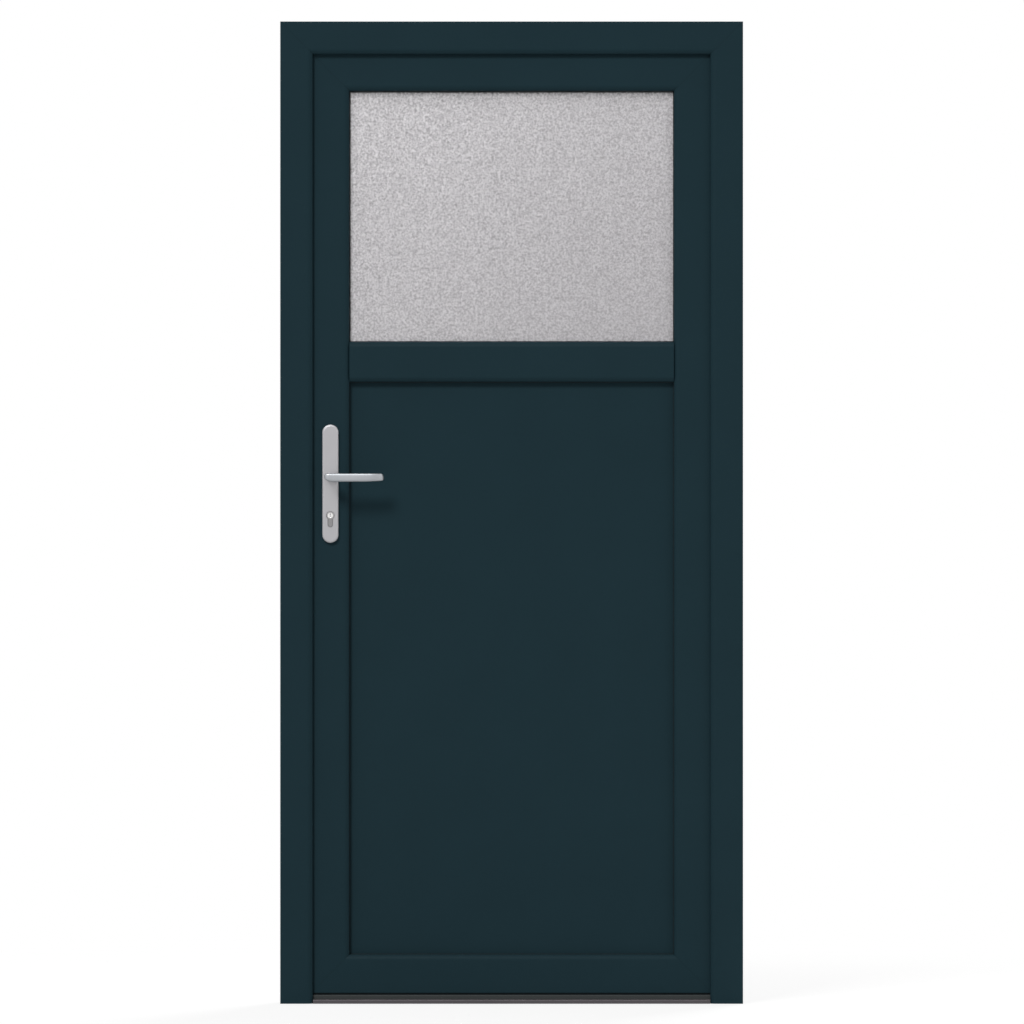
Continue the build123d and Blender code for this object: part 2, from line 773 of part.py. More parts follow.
# Gaskets between the glazing lips and the infill
def gasket_section():
    """Gasket strip that shows as a thin line past the lip."""
    u0 = glazing_lip - gasket_cover
    u1 = glazing_lip + gasket_proud
    points = [(u0, sash_lip_back_y), (glazing_lip, sash_lip_back_y),
              (u1, sash_lip_back_y + gasket_proud), (u1, unit_face_y), (u0, unit_face_y)]
    return outline(points)


keep("glass_gasket_outside", ring(gasket_section(), glass_rect))
keep("panel_gasket_outside", ring(gasket_section(), panel_rect))


# Glazing beads on the inside, snapped into their grooves by a foot
def bead_section():
    """Bead with a soft lip against the infill, a hollow and a foot."""
    y0 = unit_back_y + bead_seal
    y1 = sash_back_y
    foot_y = y1 - bead_foot_from_back
    lip = glazing_lip
    points = [
        (0, y0), (lip - 3 * bead_seal, y0), (lip - 2 * bead_seal, unit_back_y),
        (lip - web, unit_back_y), (lip, y0), (lip, y1 - bead_slope), (lip - bead_slope, y1), (0, y1),
        (0, foot_y + bead_foot_thick), (-bead_foot, foot_y + bead_foot_thick), (-bead_foot, foot_y),
        (0, foot_y),
    ]
    face = outline(points, {5: bead_seal, 6: bead_seal})
    return face - chamber((outer_wall, lip - bead_slope), (y0 + outer_wall, y1 - outer_wall))


bead_profile = bead_section()
for name, rect in (("glass", glass_rect), ("panel", panel_rect)):
    keep(f"{name}_beads_across", *[member(s, bead_profile, rect) for s in ("top", "bottom")])
    keep(f"{name}_beads_upright", *[member(s, bead_profile, rect) for s in ("left", "right")])


# Setting blocks between the infill's edges and the rebates
def setting_blocks(rect):
    """Blocks at two places below and above, and at one corner each side."""
    x0, x1, z0, z1 = rect
    rows = (unit_face_y, unit_back_y)
    near = block_from_corner
    spans = [(x0 + near, x0 + near + block_length), (x1 - near - block_length, x1 - near)]
    heights = [(z0, z0 + edge_play), (z1 - edge_play, z1)]
    pieces = [block(span, rows, height) for span in spans for height in heights]
    pieces.append(block((x0, x0 + edge_play), rows, (z1 - near - block_length, z1 - near)))
    pieces.append(block((x1 - edge_play, x1), rows, (z0 + near, z0 + near + block_length)))
    return pieces


keep("glazing_blocks", *setting_blocks(glass_rect), *setting_blocks(panel_rect))


# Leaf seal on the overlap leg, all round
def leaf_seal_section():
    """Seal strip that stops just short of the frame's inner face."""
    crown = back_y + seal_clear
    points = [(0, leg_y), (leaf_seal_width, leg_y), (leaf_seal_width, crown), (0, crown)]
    return outline(points, {2: web, 3: web})


leaf_seal_inset = leg_edge_u + leaf_seal_from_edge
leaf_seal_rect = (
    -half_width + leaf_seal_inset, half_width - leaf_seal_inset,
    leg_bottom + leaf_seal_from_edge, frame_height - leaf_seal_inset,
)
keep("leaf_seal", ring(leaf_seal_section(), leaf_seal_rect))


# Hinges: frame bracket with the end knuckles, leaf bracket with the middle knuckle
def hinge_at(height, half_span):
    """Heights of a stretch centred on a hinge."""
    return (height - half_span, height + half_span)


def end_knuckles(height):
    """Height ranges of the bottom and the top knuckle."""
    low, high = hinge_at(height, hinge_height / 2)
    return (low, low + end_knuckle), (high - end_knuckle, high)


bush_radius = pin_radius + running_fit + bush_wall
middle_half = hinge_height / 2 - end_knuckle - free_gap - bush_flange


def frame_bracket(height):
    """Plate on the frame's inner face with two knuckles."""
    x1 = half_width - frame_plate_edge
    plate = block((x1 - frame_plate_width, x1), (back_y, back_y + hinge_plate),
                  hinge_at(height, hinge_height / 2))
    for span in end_knuckles(height):
        plate += block((hinge_x, hinge_x + hinge_arm), (back_y, hinge_y), span)
        plate += upright(barrel_radius, hinge_x, hinge_y, span)
    bore = upright(pin_radius + fixed_fit, hinge_x, hinge_y, hinge_at(height, hinge_height))
    return plate - bore


def leaf_bracket(height):
    """Plate on the leaf's inner face with the middle knuckle."""
    span = hinge_at(height, middle_half)
    x1 = hinge_x - leaf_plate_air
    plate = block((x1 - leaf_plate_width, x1), (sash_back_y, sash_back_y + hinge_plate),
                  hinge_at(height, hinge_height / 2))
    plate += block((x1 - hinge_arm, hinge_x), (sash_back_y, sash_back_y + hinge_plate + web), span)
    plate += upright(barrel_radius, hinge_x, hinge_y, span)
    return plate - upright(bush_radius + fixed_fit, hinge_x, hinge_y, hinge_at(height, hinge_height))


def hinge_bush(height):
    """Flanged nylon bush in the middle knuckle."""
    flange = middle_half + bush_flange
    body = upright(bush_radius, hinge_x, hinge_y, hinge_at(height, middle_half))
    for low in (height - flange, height + middle_half):
        body += upright(bush_flange_radius, hinge_x, hinge_y, (low, low + bush_flange))
    return body - upright(pin_radius + running_fit, hinge_x, hinge_y, hinge_at(height, hinge_height))


def hinge_end_cap(height, sign):
    """Domed cap on one end of the barrel, with a stub in the bore."""
    cap = turned([(0, -hinge_cap_stub), (pin_radius, -hinge_cap_stub), (pin_radius, 0), (barrel_radius, 0),
                  (barrel_radius, hinge_cap / 2), (barrel_radius - hinge_cap / 2, hinge_cap),
                  (0, hinge_cap)])
    if sign < 0:
        cap = Rot(180, 0, 0) * cap
    return Pos(hinge_x, hinge_y, height + sign * hinge_height / 2) * cap


pin_half = hinge_height / 2 - hinge_cap_stub - free_gap
frame_screw_room = screws(frame_hinge_screws, TO_INSIDE, frame_screw_length, screw_gap)
leaf_screw_room = screws(leaf_hinge_screws, TO_INSIDE, leaf_screw_length, screw_gap)
keep("hinge_frame_brackets", *[frame_bracket(z) - frame_screw_room for z in hinge_heights])
keep("hinge_leaf_brackets", *[leaf_bracket(z) - leaf_screw_room for z in hinge_heights])
keep("hinge_bushes", *[hinge_bush(z) for z in hinge_heights])
keep("hinge_pins", *[upright(pin_radius, hinge_x, hinge_y, hinge_at(z, pin_half)) for z in hinge_heights])
keep("hinge_caps", *[hinge_end_cap(z, sign) for z in hinge_heights for sign in (-1, 1)])
keep("hinge_frame_screws", *screws(frame_hinge_screws, TO_INSIDE, frame_screw_length))
keep("hinge_leaf_screws", *screws(leaf_hinge_screws, TO_INSIDE, leaf_screw_length))


# Mortise lock
def lock_case():
    """Pressed case, open towards the faceplate, with holes for the follower and the cylinder."""
    case = block(case_x, case_y, case_z)
    case -= block((case_x[0] - web, case_x[1] - case_wall), shrink(case_y, case_wall),
                  shrink(case_z, case_wall))
    whole = shrink(case_y, -web)
    case -= across(Circle(follower_journal + running_fit), lock_x, spindle_height, whole)
    return case - across(euro_profile(cylinder_clear), lock_x, cylinder_z, whole)


cylinder_screw_z = cylinder_z - stem_drop


def cylinder_screw(grow=0.0):
    """Screw through the faceplate into the cylinder's stem."""
    head = Pos(edge_x, groove_centre_y, cylinder_screw_z) * TO_LEFT * screw_form(backset, grow)
    return head


def faceplate():
    """Faceplate in the groove of the leaf's edge, with openings for the latch and the bolt."""
    half = groove_width / 2 - faceplate_side_gap
    face = RectangleRounded(2 * half, faceplate_z[1] - faceplate_z[0], half / 2)
    plate = extrude(Plane.YZ * face, amount=groove_depth)
    plate = Pos(edge_x, groove_centre_y, sum(faceplate_z) / 2) * plate
    span = (edge_x - web, edge_x + groove_depth + web)
    room = shrink(works_y, -lock_gap)
    for z_range in (latch_z, bolt_z):
        plate -= block(span, room, shrink(z_range, -lock_gap))
    plate -= screws(faceplate_screw_places, TO_LEFT, lock_screw_length, screw_gap)
    return plate - cylinder_screw(screw_gap)


def latch():
    """Sprung latch: slanted to the outside, flat to the inside, with a notch for the follower."""
    tip = edge_x - latch_throw
    back = edge_x - latch_throw + latch_block
    y0, y1 = works_y
    plan = outline([(tip, y1), (tip, y1 - latch_flat), (edge_x, y0), (back, y0), (back, y1)])
    head = Pos(0, 0, latch_low) * extrude(plan, latch_height)
    half = latch_tail_thick / 2
    notch_half_width = arm_width / 2 + arm_play
    tail = block((back, arm_tip_x + notch_half_width + latch_tail_end),
                 (groove_centre_y - half, groove_centre_y + half),
                 (latch_tail_low, latch_tail_low + latch_tail_height))
    notch = block((arm_tip_x - notch_half_width, arm_tip_x + notch_half_width), works_y,
                  (latch_tail_low - web, latch_low))
    return head + tail - notch


def deadbolt():
    """Square deadbolt with the tail that the cam drives."""
    head = block((edge_x, edge_x + bolt_length), works_y, bolt_z)
    half = latch_tail_thick / 2
    tail = block((edge_x + bolt_length, edge_x + bolt_tail_end),
                 (groove_centre_y - half, groove_centre_y + half),
                 (bolt_tail_low, bolt_tail_low + bolt_tail_height))
    return head + tail


def follower():
    """Hub that the spindle turns, with journals in the case and an arm in the latch's notch."""
    hub = across(Circle(follower_radius), 0, 0, works_y)
    hub += across(Circle(follower_journal), 0, 0, case_y)
    half = latch_tail_thick / 2
    rows = (groove_centre_y - half, groove_centre_y + half)
    straight = arm_reach - arm_width / 2
    arm = across(Pos(0, straight / 2) * Rectangle(arm_width, straight), 0, 0, rows)
    arm += across(Pos(0, straight) * Circle(arm_width / 2), 0, 0, rows)
    hub += Rot(0, -arm_lean, 0) * arm
    side = spindle_side + 2 * spindle_play
    hub -= across(Rectangle(side, side), 0, 0, shrink(case_y, -web))
    return Pos(lock_x, 0, spindle_height) * hub


keep("lock_case", lock_case() - cylinder_screw(screw_gap))
keep("lock_faceplate", faceplate())
keep("lock_screws", *screws(faceplate_screw_places, TO_LEFT, lock_screw_length))
keep("latch", latch())
keep("deadbolt", deadbolt())
keep("follower", follower())


# Strike plate on the lock jamb
def strike_plate():
    """Strike with a pocket for the latch and one for the deadbolt."""
    x_range = (-half_width + frame_body, strike_face_x)
    plate = block(x_range, (strike_outer_y, back_y - strike_inner_gap), strike_z)
    room = shrink(works_y, -strike_pocket_gap)
    for z_range in (latch_z, bolt_z):
        plate -= block(shrink(x_range, -web), room, shrink(z_range, -strike_pocket_end_gap))
    return plate - screws(strike_screw_places(), TO_RIGHT, strike_screw_length, screw_gap)


keep("strike_plate", strike_plate())
keep("strike_screws", *screws(strike_screw_places(), TO_RIGHT, strike_screw_length))

# Profile cylinder with its two plugs and the cam between them
cam_y = (groove_centre_y - cam_width / 2, groove_centre_y + cam_width / 2)


def cylinder_body():
    """Cylinder housing, cut away in the middle for the cam and bored for the plugs."""
    body = across(euro_profile(), lock_x, cylinder_z, cylinder_y)
    cut_low = cylinder_z - cam_reach - cam_gap
    half = cylinder_round
    body -= block((lock_x - half, lock_x + half), shrink(cam_y, -cam_gap), (cut_low, cylinder_z + half))
    body -= across(Circle(plug_radius + running_fit), lock_x, cylinder_z, shrink(cylinder_y, -web))
    return body - cylinder_screw(screw_gap)


def plug(y_range, key_end, inwards):
    """Key plug with a keyway in its outer end."""
    solid = across(Circle(plug_radius), lock_x, cylinder_z, y_range)
    rows = sorted((key_end - inwards, key_end + inwards * keyway_depth))
    return solid - across(Rectangle(keyway_width, keyway_height), lock_x, cylinder_z, rows)


def cam():
    """Cam ring with the finger that throws the bolt, shown with the key out."""
    ring_face = Circle(cylinder_round / 2) + Pos(0, -cam_reach / 2) * Rectangle(cam_finger, cam_reach)
    ring_face &= Circle(cam_reach)
    return across(ring_face, lock_x, cylinder_z, cam_y)


keep("cylinder_body", cylinder_body())
keep("plug_outside", plug((cylinder_y[0], cam_y[0]), cylinder_y[0], 1))
keep("plug_inside", plug((cam_y[1] + cam_gap, cylinder_y[1]), cylinder_y[1], -1))
keep("cam", cam())
keep("cylinder_screw", cylinder_screw())


# Back plates and levers, drawn for the outside and turned round for the inside
def back_plate(thickness):
    """Hollow cover plate in (x, z, depth from the leaf), its back on the plane y = 0."""
    middle = sum(plate_z) / 2
    plate_height = plate_z[1] - plate_z[0]
    whole = Rot(0, 0, 90) * SlotOverall(plate_height, plate_width)
    room = Rot(0, 0, 90) * SlotOverall(plate_height - 2 * plate_skin, plate_width - 2 * plate_skin)
    plate = across(whole, lock_x, middle, (-thickness, 0))
    rim = plate.faces().sort_by(Axis.Y)[0].edges()
    plate = chamfer(rim, plate_rim_drop, plate_rim)
    plate -= across(room, lock_x, middle, (-thickness + plate_skin, web))
    hollow = (-thickness + plate_skin / 2, 0)
    plate += across(Circle(plate_bearing), lock_x, spindle_height, hollow)
    for z in plate_screw_heights:
        plate += across(Circle(plate_post), lock_x, z, hollow)
    through = (-thickness - web, web)
    plate -= across(Circle(lever_neck + running_fit), lock_x, spindle_height, through)
    return plate - across(euro_profile(free_gap), lock_x, cylinder_z, through)


def lever_front():
    """Handle bar in front view, with a level top and an underside that rises to the tip."""
    half = lever_height / 2
    tip = lever_length
    points = [(-lever_head, half), (tip, half), (tip, -half + lever_taper),
              (tip - lever_taper_length, -half), (-lever_head, -half)]
    soft = {0: half - web, 1: half / 2, 2: half / 2, 4: half - web}
    return outline(points, soft)


def lever_plan():
    """Handle bar seen from above, in (x, outwards), with its end turned back to the door."""
    far = lever_projection
    near = lever_projection - lever_grip
    bend = lever_length - lever_return_length
    points = [(-lever_head, far), (bend, far), (lever_length, far - lever_return),
              (lever_length, near - lever_return), (bend, near), (-lever_head, near)]
    return outline(points, {0: lever_grip / 2, 1: lever_return_length, 4: lever_return_length})


def lever():
    """Lever on the outside plate, its pivot on the origin and the plate's face on y = 0."""
    front = extrude(Plane.XZ * lever_front(), amount=lever_projection + web)
    from_above = Pos(0, 0, -lever_height) * extrude(mirror(lever_plan(), about=Plane.XZ), 2 * lever_height)
    grip = front & from_above
    grip = fillet(grip.edges().filter_by(lambda e: e.length > lever_height), lever_edge)
    bar = grip + across(Circle(lever_neck), 0, 0, (-lever_projection + lever_grip / 2, lever_neck_depth))
    side = spindle_side + 2 * spindle_play
    socket = across(Rectangle(side, side), 0, 0, (-lever_projection / 2, lever_neck_depth + web))
    return bar - socket


def inside_out(shape, depth):
    """The outside's furniture turned to face the room, from y = 0 to the given depth."""
    return Pos(0, depth, 0) * mirror(shape, about=Plane.XZ)


plate_screw_out = -plate_thickness + plate_skin
plate_screw_length = plate_in_y - sash_face_y - plate_screw_out - screw_gap
plate_screw_places = [(lock_x, plate_in_y, z) for z in plate_screw_heights]
plate_screw_room = screws(plate_screw_places, TO_INSIDE, plate_screw_length, screw_gap)
outside = Pos(0, sash_face_y, 0) * back_plate(plate_thickness)
inside = inside_out(back_plate(inside_plate_thickness), sash_back_y)
keep("plate_outside", outside - plate_screw_room)
keep("plate_inside", inside - plate_screw_room)
keep("plate_screws", *screws(plate_screw_places, TO_INSIDE, plate_screw_length))
keep("lever_outside", Pos(lock_x, plate_out_y, spindle_height) * lever())
keep("lever_inside", Pos(lock_x, 0, spindle_height) * inside_out(lever(), plate_in_y))
spindle_reach = lever_projection / 2 - web
keep(
    "spindle",
    block(
        (lock_x - spindle_side / 2, lock_x + spindle_side / 2),
        (plate_out_y - spindle_reach, plate_in_y + spindle_reach),
        (spindle_height - spindle_side / 2, spindle_height + spindle_side / 2),
    ),
)

os.makedirs("parts", exist_ok=True)
for name, solids in nodes.items():
    whole = solids[0] if len(solids) == 1 else Compound(children=solids)
    export_step(whole, f"parts/{name}.step")
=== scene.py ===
import json
import logging
from dataclasses import dataclass
from enum import Enum
from functools import reduce
from math import pi, radians

import bmesh
import bpy
import numpy as np
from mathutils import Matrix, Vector
from mathutils.geometry import tessellate_polygon

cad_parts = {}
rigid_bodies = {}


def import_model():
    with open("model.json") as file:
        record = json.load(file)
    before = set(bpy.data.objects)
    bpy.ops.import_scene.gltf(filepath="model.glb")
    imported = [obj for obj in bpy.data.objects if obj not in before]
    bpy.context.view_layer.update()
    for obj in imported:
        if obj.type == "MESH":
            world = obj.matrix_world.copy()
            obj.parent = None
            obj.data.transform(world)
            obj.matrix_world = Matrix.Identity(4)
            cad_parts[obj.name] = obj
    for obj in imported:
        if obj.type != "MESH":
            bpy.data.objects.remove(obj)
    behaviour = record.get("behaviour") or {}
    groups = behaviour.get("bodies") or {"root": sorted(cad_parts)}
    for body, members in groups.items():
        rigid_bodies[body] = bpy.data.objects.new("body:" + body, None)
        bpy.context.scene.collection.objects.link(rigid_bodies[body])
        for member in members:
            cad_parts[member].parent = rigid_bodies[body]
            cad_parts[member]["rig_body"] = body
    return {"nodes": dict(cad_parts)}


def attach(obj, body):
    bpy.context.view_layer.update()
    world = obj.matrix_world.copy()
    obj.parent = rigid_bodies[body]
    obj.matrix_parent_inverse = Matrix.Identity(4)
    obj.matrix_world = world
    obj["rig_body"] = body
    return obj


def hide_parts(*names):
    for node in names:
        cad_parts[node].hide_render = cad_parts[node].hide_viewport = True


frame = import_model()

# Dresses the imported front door: smooth furniture, hinges, seals, beads and panes in place of the
# plain solids, and a finish on everything. Sizes are millimetres until a mesh is written.
# X is to the right seen from outside, Y goes into the house and Z is up.

log = logging.getLogger("front_door")
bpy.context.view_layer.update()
MM = 0.001
WELD = 1e-6
SMOOTH_BELOW = radians(32)
NOISE_SPAN = (0.3, 0.7)

# Short names of types
Pair = Span = tuple[float, float]
Triple = Colour = tuple[float, float, float]
Box = tuple[float, float, float, float]
Socket = bpy.types.NodeSocket
Value = Socket | float
Material = bpy.types.Material
Finishes = dict[str, Material]

# Places and sizes that several pieces share
LOCK_X = -384.0
SPINDLE_Z = 1115.0
CYLINDER_Z = 1034.0
PLATE_Z = (976.0, 1226.5)
PLATE_HALF_WIDTH = 17.0
PLATE_SCREWS_Z = (990.0, 1212.5)
EURO_RADIUS, EURO_STEM, EURO_DROP = 8.5, 5.0, 19.5


class Body(Enum):
    """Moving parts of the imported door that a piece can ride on."""

    FRAME = "frame"
    LEAF = "leaf"
    HANDLES = "handles"
    OUTSIDE_KEY = "outside_key"
    INSIDE_KEY = "inside_key"


class Side(Enum):
    """Which way a piece of furniture faces: the value is its outward step along Y."""

    OUTSIDE = -1
    INSIDE = 1


# Outlines and surfaces
def rounded(corners: list[Pair], radii: float | list[float], steps: int) -> np.ndarray:
    """Closed outline whose corners are circular arcs.

    Each arc touches both sides at radius / tan(half the inside angle) from its corner, and its
    points are the two touching radii mixed by the sines of the shares of the arc's angle.

    Args:
        corners: Corner points in order.
        radii: One radius for all corners, or one for each.
        steps: Points on each arc.

    Returns:
        The outline's points, one row each.
    """
    p = np.asarray(corners, float)
    r = np.broadcast_to(np.asarray(radii, float), len(p))[:, None]
    before, after = np.roll(p, 1, 0) - p, np.roll(p, -1, 0) - p
    before /= np.linalg.norm(before, axis=1, keepdims=True)
    after /= np.linalg.norm(after, axis=1, keepdims=True)
    half = np.arccos(np.clip((before * after).sum(1, keepdims=True), -1, 1)) / 2
    middle = before + after
    middle /= np.linalg.norm(middle, axis=1, keepdims=True)
    centre = p + middle * r / np.sin(half)
    start, end = p + before * r / np.tan(half) - centre, p + after * r / np.tan(half) - centre
    turn = (pi - 2 * half)[:, None]
    t = np.linspace(0, 1, steps)[None, :, None]
    arc = (start[:, None] * np.sin((1 - t) * turn) + end[:, None] * np.sin(t * turn)) / np.sin(turn)
    points = (centre[:, None] + arc).reshape(-1, 2)
    keep = np.linalg.norm(points - np.roll(points, 1, 0), axis=1) > 1e-4
    return points[keep]


def arc(radius: float, start: float, end: float, steps: int, centre: Pair = (0, 0)) -> np.ndarray:
    """Points of an arc at even angles, from its start to its end."""
    a = np.linspace(start, end, steps)
    return np.stack([np.cos(a), np.sin(a)], 1) * radius + centre


def circle(radius: float, steps: int, centre: Pair = (0, 0)) -> np.ndarray:
    """Points of a circle at even angles."""
    return arc(radius, 0, 2 * pi * (1 - 1 / steps), steps, centre)


def discs(radii: np.ndarray | list[float], steps: int) -> np.ndarray:
    """Circles about the origin, one ring of points for each radius."""
    return circle(1.0, steps)[None] * np.asarray(radii, float)[:, None, None]


def stadium(half_width: float, half_height: float, steps: int) -> np.ndarray:
    """Upright slot shape: a half circle at each end, their centres apart by the straight sides."""
    a = (np.arange(steps) + 0.5) / steps * 2 * pi
    ends = np.where(np.sin(a) > 0, 1, -1) * (half_height - half_width)
    return np.stack([half_width * np.cos(a), half_width * np.sin(a) + ends], 1)


def superellipse(half_width: np.ndarray, half_height: np.ndarray, power: float, steps: int) -> np.ndarray:
    """Rounded sections: each coordinate is the cosine or sine raised to 2 / power, sign kept.

    Args:
        half_width: Half width of each section.
        half_height: Half height of each section.
        power: 2 is an ellipse, and more is squarer.
        steps: Points round each section.

    Returns:
        An array of sections by points by two.
    """
    a = np.linspace(0, 2 * pi, steps, endpoint=False)[None, :]
    c, s = np.cos(a), np.sin(a)
    x = np.sign(c) * np.abs(c) ** (2 / power) * half_width[:, None]
    y = np.sign(s) * np.abs(s) ** (2 / power) * half_height[:, None]
    return np.stack([x, y], 2)


def mitred_bar(section: np.ndarray, rect: Box, side: str, gap: float) -> np.ndarray:
    """Profile along one side of an upright rectangle, its ends cut at 45 degrees.

    A point at distance u from the outer edge starts u in from one corner and stops u short of
    the next, so both ends lie on the corner diagonals.

    Args:
        section: Outline points as (u inwards, depth).
        rect: Left, right, bottom and top of the rectangle.
        side: left, right, top or bottom.
        gap: Clearance taken off each end.

    Returns:
        Two rings of points, start and end.
    """
    u, y = section.T
    x0, x1, z0, z1 = rect
    upright = side in ("left", "right")
    low, high = (z0, z1) if upright else (x0, x1)
    ends = np.stack([low + u + gap, high - u - gap])
    edge = {"left": x0 + u, "right": x1 - u, "bottom": z0 + u, "top": z1 - u}[side]
    edge, depth = np.broadcast_to(edge, ends.shape), np.broadcast_to(y, ends.shape)
    return np.stack([edge, depth, ends] if upright else [ends, depth, edge], 2)


def closed_ring(section: np.ndarray, rect: Box) -> np.ndarray:
    """Profile round an upright rectangle: one ring of points on each corner's diagonal."""
    u, y = section.T
    x0, x1, z0, z1 = rect
    xs = np.stack([x0 + u, x1 - u, x1 - u, x0 + u])
    zs = np.stack([z0 + u, z0 + u, z1 - u, z1 - u])
    return np.stack([xs, np.broadcast_to(y, xs.shape), zs], 2)


def facing(outlines: np.ndarray, levels: np.ndarray, centre: Pair, base: float, side: Side) -> np.ndarray:
    """Stack of outlines parallel to the door's face.

    Args:
        outlines: Rings of (x, z) points, about the centre.
        levels: Height of each ring above the base, away from the door.
        centre: Place of the outlines' origin, as (x, z).
        base: Depth of the base along Y.
        side: The way that the stack grows.

    Returns:
        Rings of points, one for each level.
    """
    x, z = outlines[..., 0] + centre[0], outlines[..., 1] + centre[1]
    y = np.broadcast_to((base + side.value * levels)[:, None], x.shape)
    return np.stack([x, y, z], 2)


def turned(profile: np.ndarray, centre: Triple, steps: int = 48) -> np.ndarray:
    """Surface of revolution: each (radius, height) point of the profile goes round an upright axis.

    Args:
        profile: Rows of (radius, height).
        centre: Origin of the profile.
        steps: Points round the axis.

    Returns:
        One ring of points for each row of the profile.
    """
    heights = np.broadcast_to(profile[:, 1, None, None], (len(profile), steps, 1))
    return np.concatenate([discs(profile[:, 0], steps), heights], 2) + centre


class Shell:
    """Closed mesh in the making: grids of quads and flat caps, joined where they meet."""

    def __init__(self) -> None:
        """Start with no points and no faces."""
        self.points: list[np.ndarray] = []
        self.faces: list[list[int]] = []
        self.count = 0

    def add(self, grid: np.ndarray, loop: bool = True, closed: bool = False) -> "Shell":
        """Join each point of a grid to its neighbours.

        Args:
            grid: Rows by columns by three.
            loop: Whether the last column meets the first.
            closed: Whether the last row meets the first.

        Returns:
            The shell itself.
        """
        rows, columns = grid.shape[:2]
        i = np.arange(rows if closed else rows - 1)[:, None]
        j = np.arange(columns if loop else columns - 1)[None, :]
        k, m = (i + 1) % rows, (j + 1) % columns
        quads = np.stack([i * columns + j, i * columns + m, k * columns + m, k * columns + j], -1)
        return self.store(grid.reshape(-1, 3), quads.reshape(-1, 4))

    def cap(self, rim: np.ndarray, *holes: np.ndarray) -> "Shell":
        """Flat face inside a closed rim and outside its holes, cut into triangles."""
        loops = [rim, *holes]
        triangles = tessellate_polygon([[Vector(p) for p in loop] for loop in loops])
        return self.store(np.concatenate(loops), np.array(triangles))

    def store(self, points: np.ndarray, faces: np.ndarray) -> "Shell":
        """Keep points and the faces between them."""
        self.points.append(points)
        self.faces += (faces + self.count).tolist()
        self.count += len(points)
        return self

    def plug(self, grid: np.ndarray) -> "Shell":
        """Add a grid of rings and close both of its ends."""
        return self.add(grid).cap(grid[0]).cap(grid[-1])

    def pit(self, grid: np.ndarray) -> np.ndarray:
        """Add the walls and the floor of a hollow, and give the rim that the face leaves open."""
        self.add(grid).cap(grid[-1])
        return grid[0]

    def piece(self, name: str, slot: str, body: Body, finishes: Finishes, nodes: tuple[str, ...],
              finish: str = "") -> bpy.types.Object:
        """Write the mesh, weld its seams and set it in the frame.

        Args:
            name: Name of the piece.
            slot: Material slot of the record that it belongs to.
            body: Body that it rides on.
            finishes: Materials by name, most of them slots.
            nodes: Solids that it stands for.
            finish: Name of its material, if that isn't the slot's.

        Returns:
            The finished object, at the origin.
        """
        mesh = bpy.data.meshes.new(name)
        mesh.from_pydata((np.concatenate(self.points) * MM).tolist(), [], self.faces)
        work = bmesh.new()
        work.from_mesh(mesh)
        bmesh.ops.remove_doubles(work, verts=work.verts, dist=WELD)
        bmesh.ops.dissolve_degenerate(work, edges=work.edges, dist=WELD)
        bmesh.ops.recalc_face_normals(work, faces=work.faces)
        open_edges = sum(1 for edge in work.edges if not edge.is_manifold)
        work.to_mesh(mesh)
        work.free()
        mesh.shade_smooth()
        mesh.set_sharp_from_angle(angle=SMOOTH_BELOW)
        mesh.materials.append(finishes[finish or slot])
        piece = bpy.data.objects.new(name, mesh)
        bpy.context.scene.collection.objects.link(piece)
        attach(piece, body.value)
        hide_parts(*nodes)
        log.info("%s: %d faces, %d open edges, on %s", name, len(mesh.polygons), open_edges, body.value)
        return piece


# Finishes
class Graph:
    """Node graph of a material or a world, with short calls for what its users share."""

    def __init__(self, tree: bpy.types.NodeTree) -> None:
        """Start with no nodes."""
        self.tree = tree
        self.tree.nodes.clear()

    def node(self, kind: str, inputs: dict | None = None, **settings: object) -> bpy.types.Node:
        """Add a node, set its own settings, and set or link its inputs."""
        node = self.tree.nodes.new(kind)
        for key, value in settings.items():
            setattr(node, key, value)
        for key, value in (inputs or {}).items():
            if isinstance(value, Socket):
                self.tree.links.new(value, node.inputs[key])
            else:
                node.inputs[key].default_value = value
        return node

    def math(self, operation: str, *values: Value) -> Socket:
        """One sum, carried on over all values."""
        def step(a: Value, b: Value = 0.0) -> Socket:
            """The sum of two values."""
            return self.node("ShaderNodeMath", {0: a, 1: b}, operation=operation).outputs[0]

        return reduce(step, values) if len(values) > 1 else step(*values)

    def plus(self, *values: Value) -> Socket:
        """All values added."""
        return self.math("ADD", *values)

    def less(self, a: Value, b: Value) -> Socket:
        """The first value less the second."""
        return self.math("SUBTRACT", a, b)

    def times(self, a: Value, b: Value) -> Socket:
        """Two values multiplied."""
        return self.math("MULTIPLY", a, b)

    def least(self, *values: Value) -> Socket:
        """The smallest value."""
        return self.math("MINIMUM", *values)

    def away(self, value: Value, at: float) -> Socket:
        """Distance of a coordinate from a place in millimetres."""
        return self.math("ABSOLUTE", self.less(value, at * MM))

    def seen(self) -> Socket:
        """One for rays from the camera and for reflected and refracted rays, else nothing."""
        rays = self.node("ShaderNodeLightPath").outputs
        return self.math("MAXIMUM", rays["Is Camera Ray"], rays["Is Glossy Ray"], rays["Is Transmission Ray"])


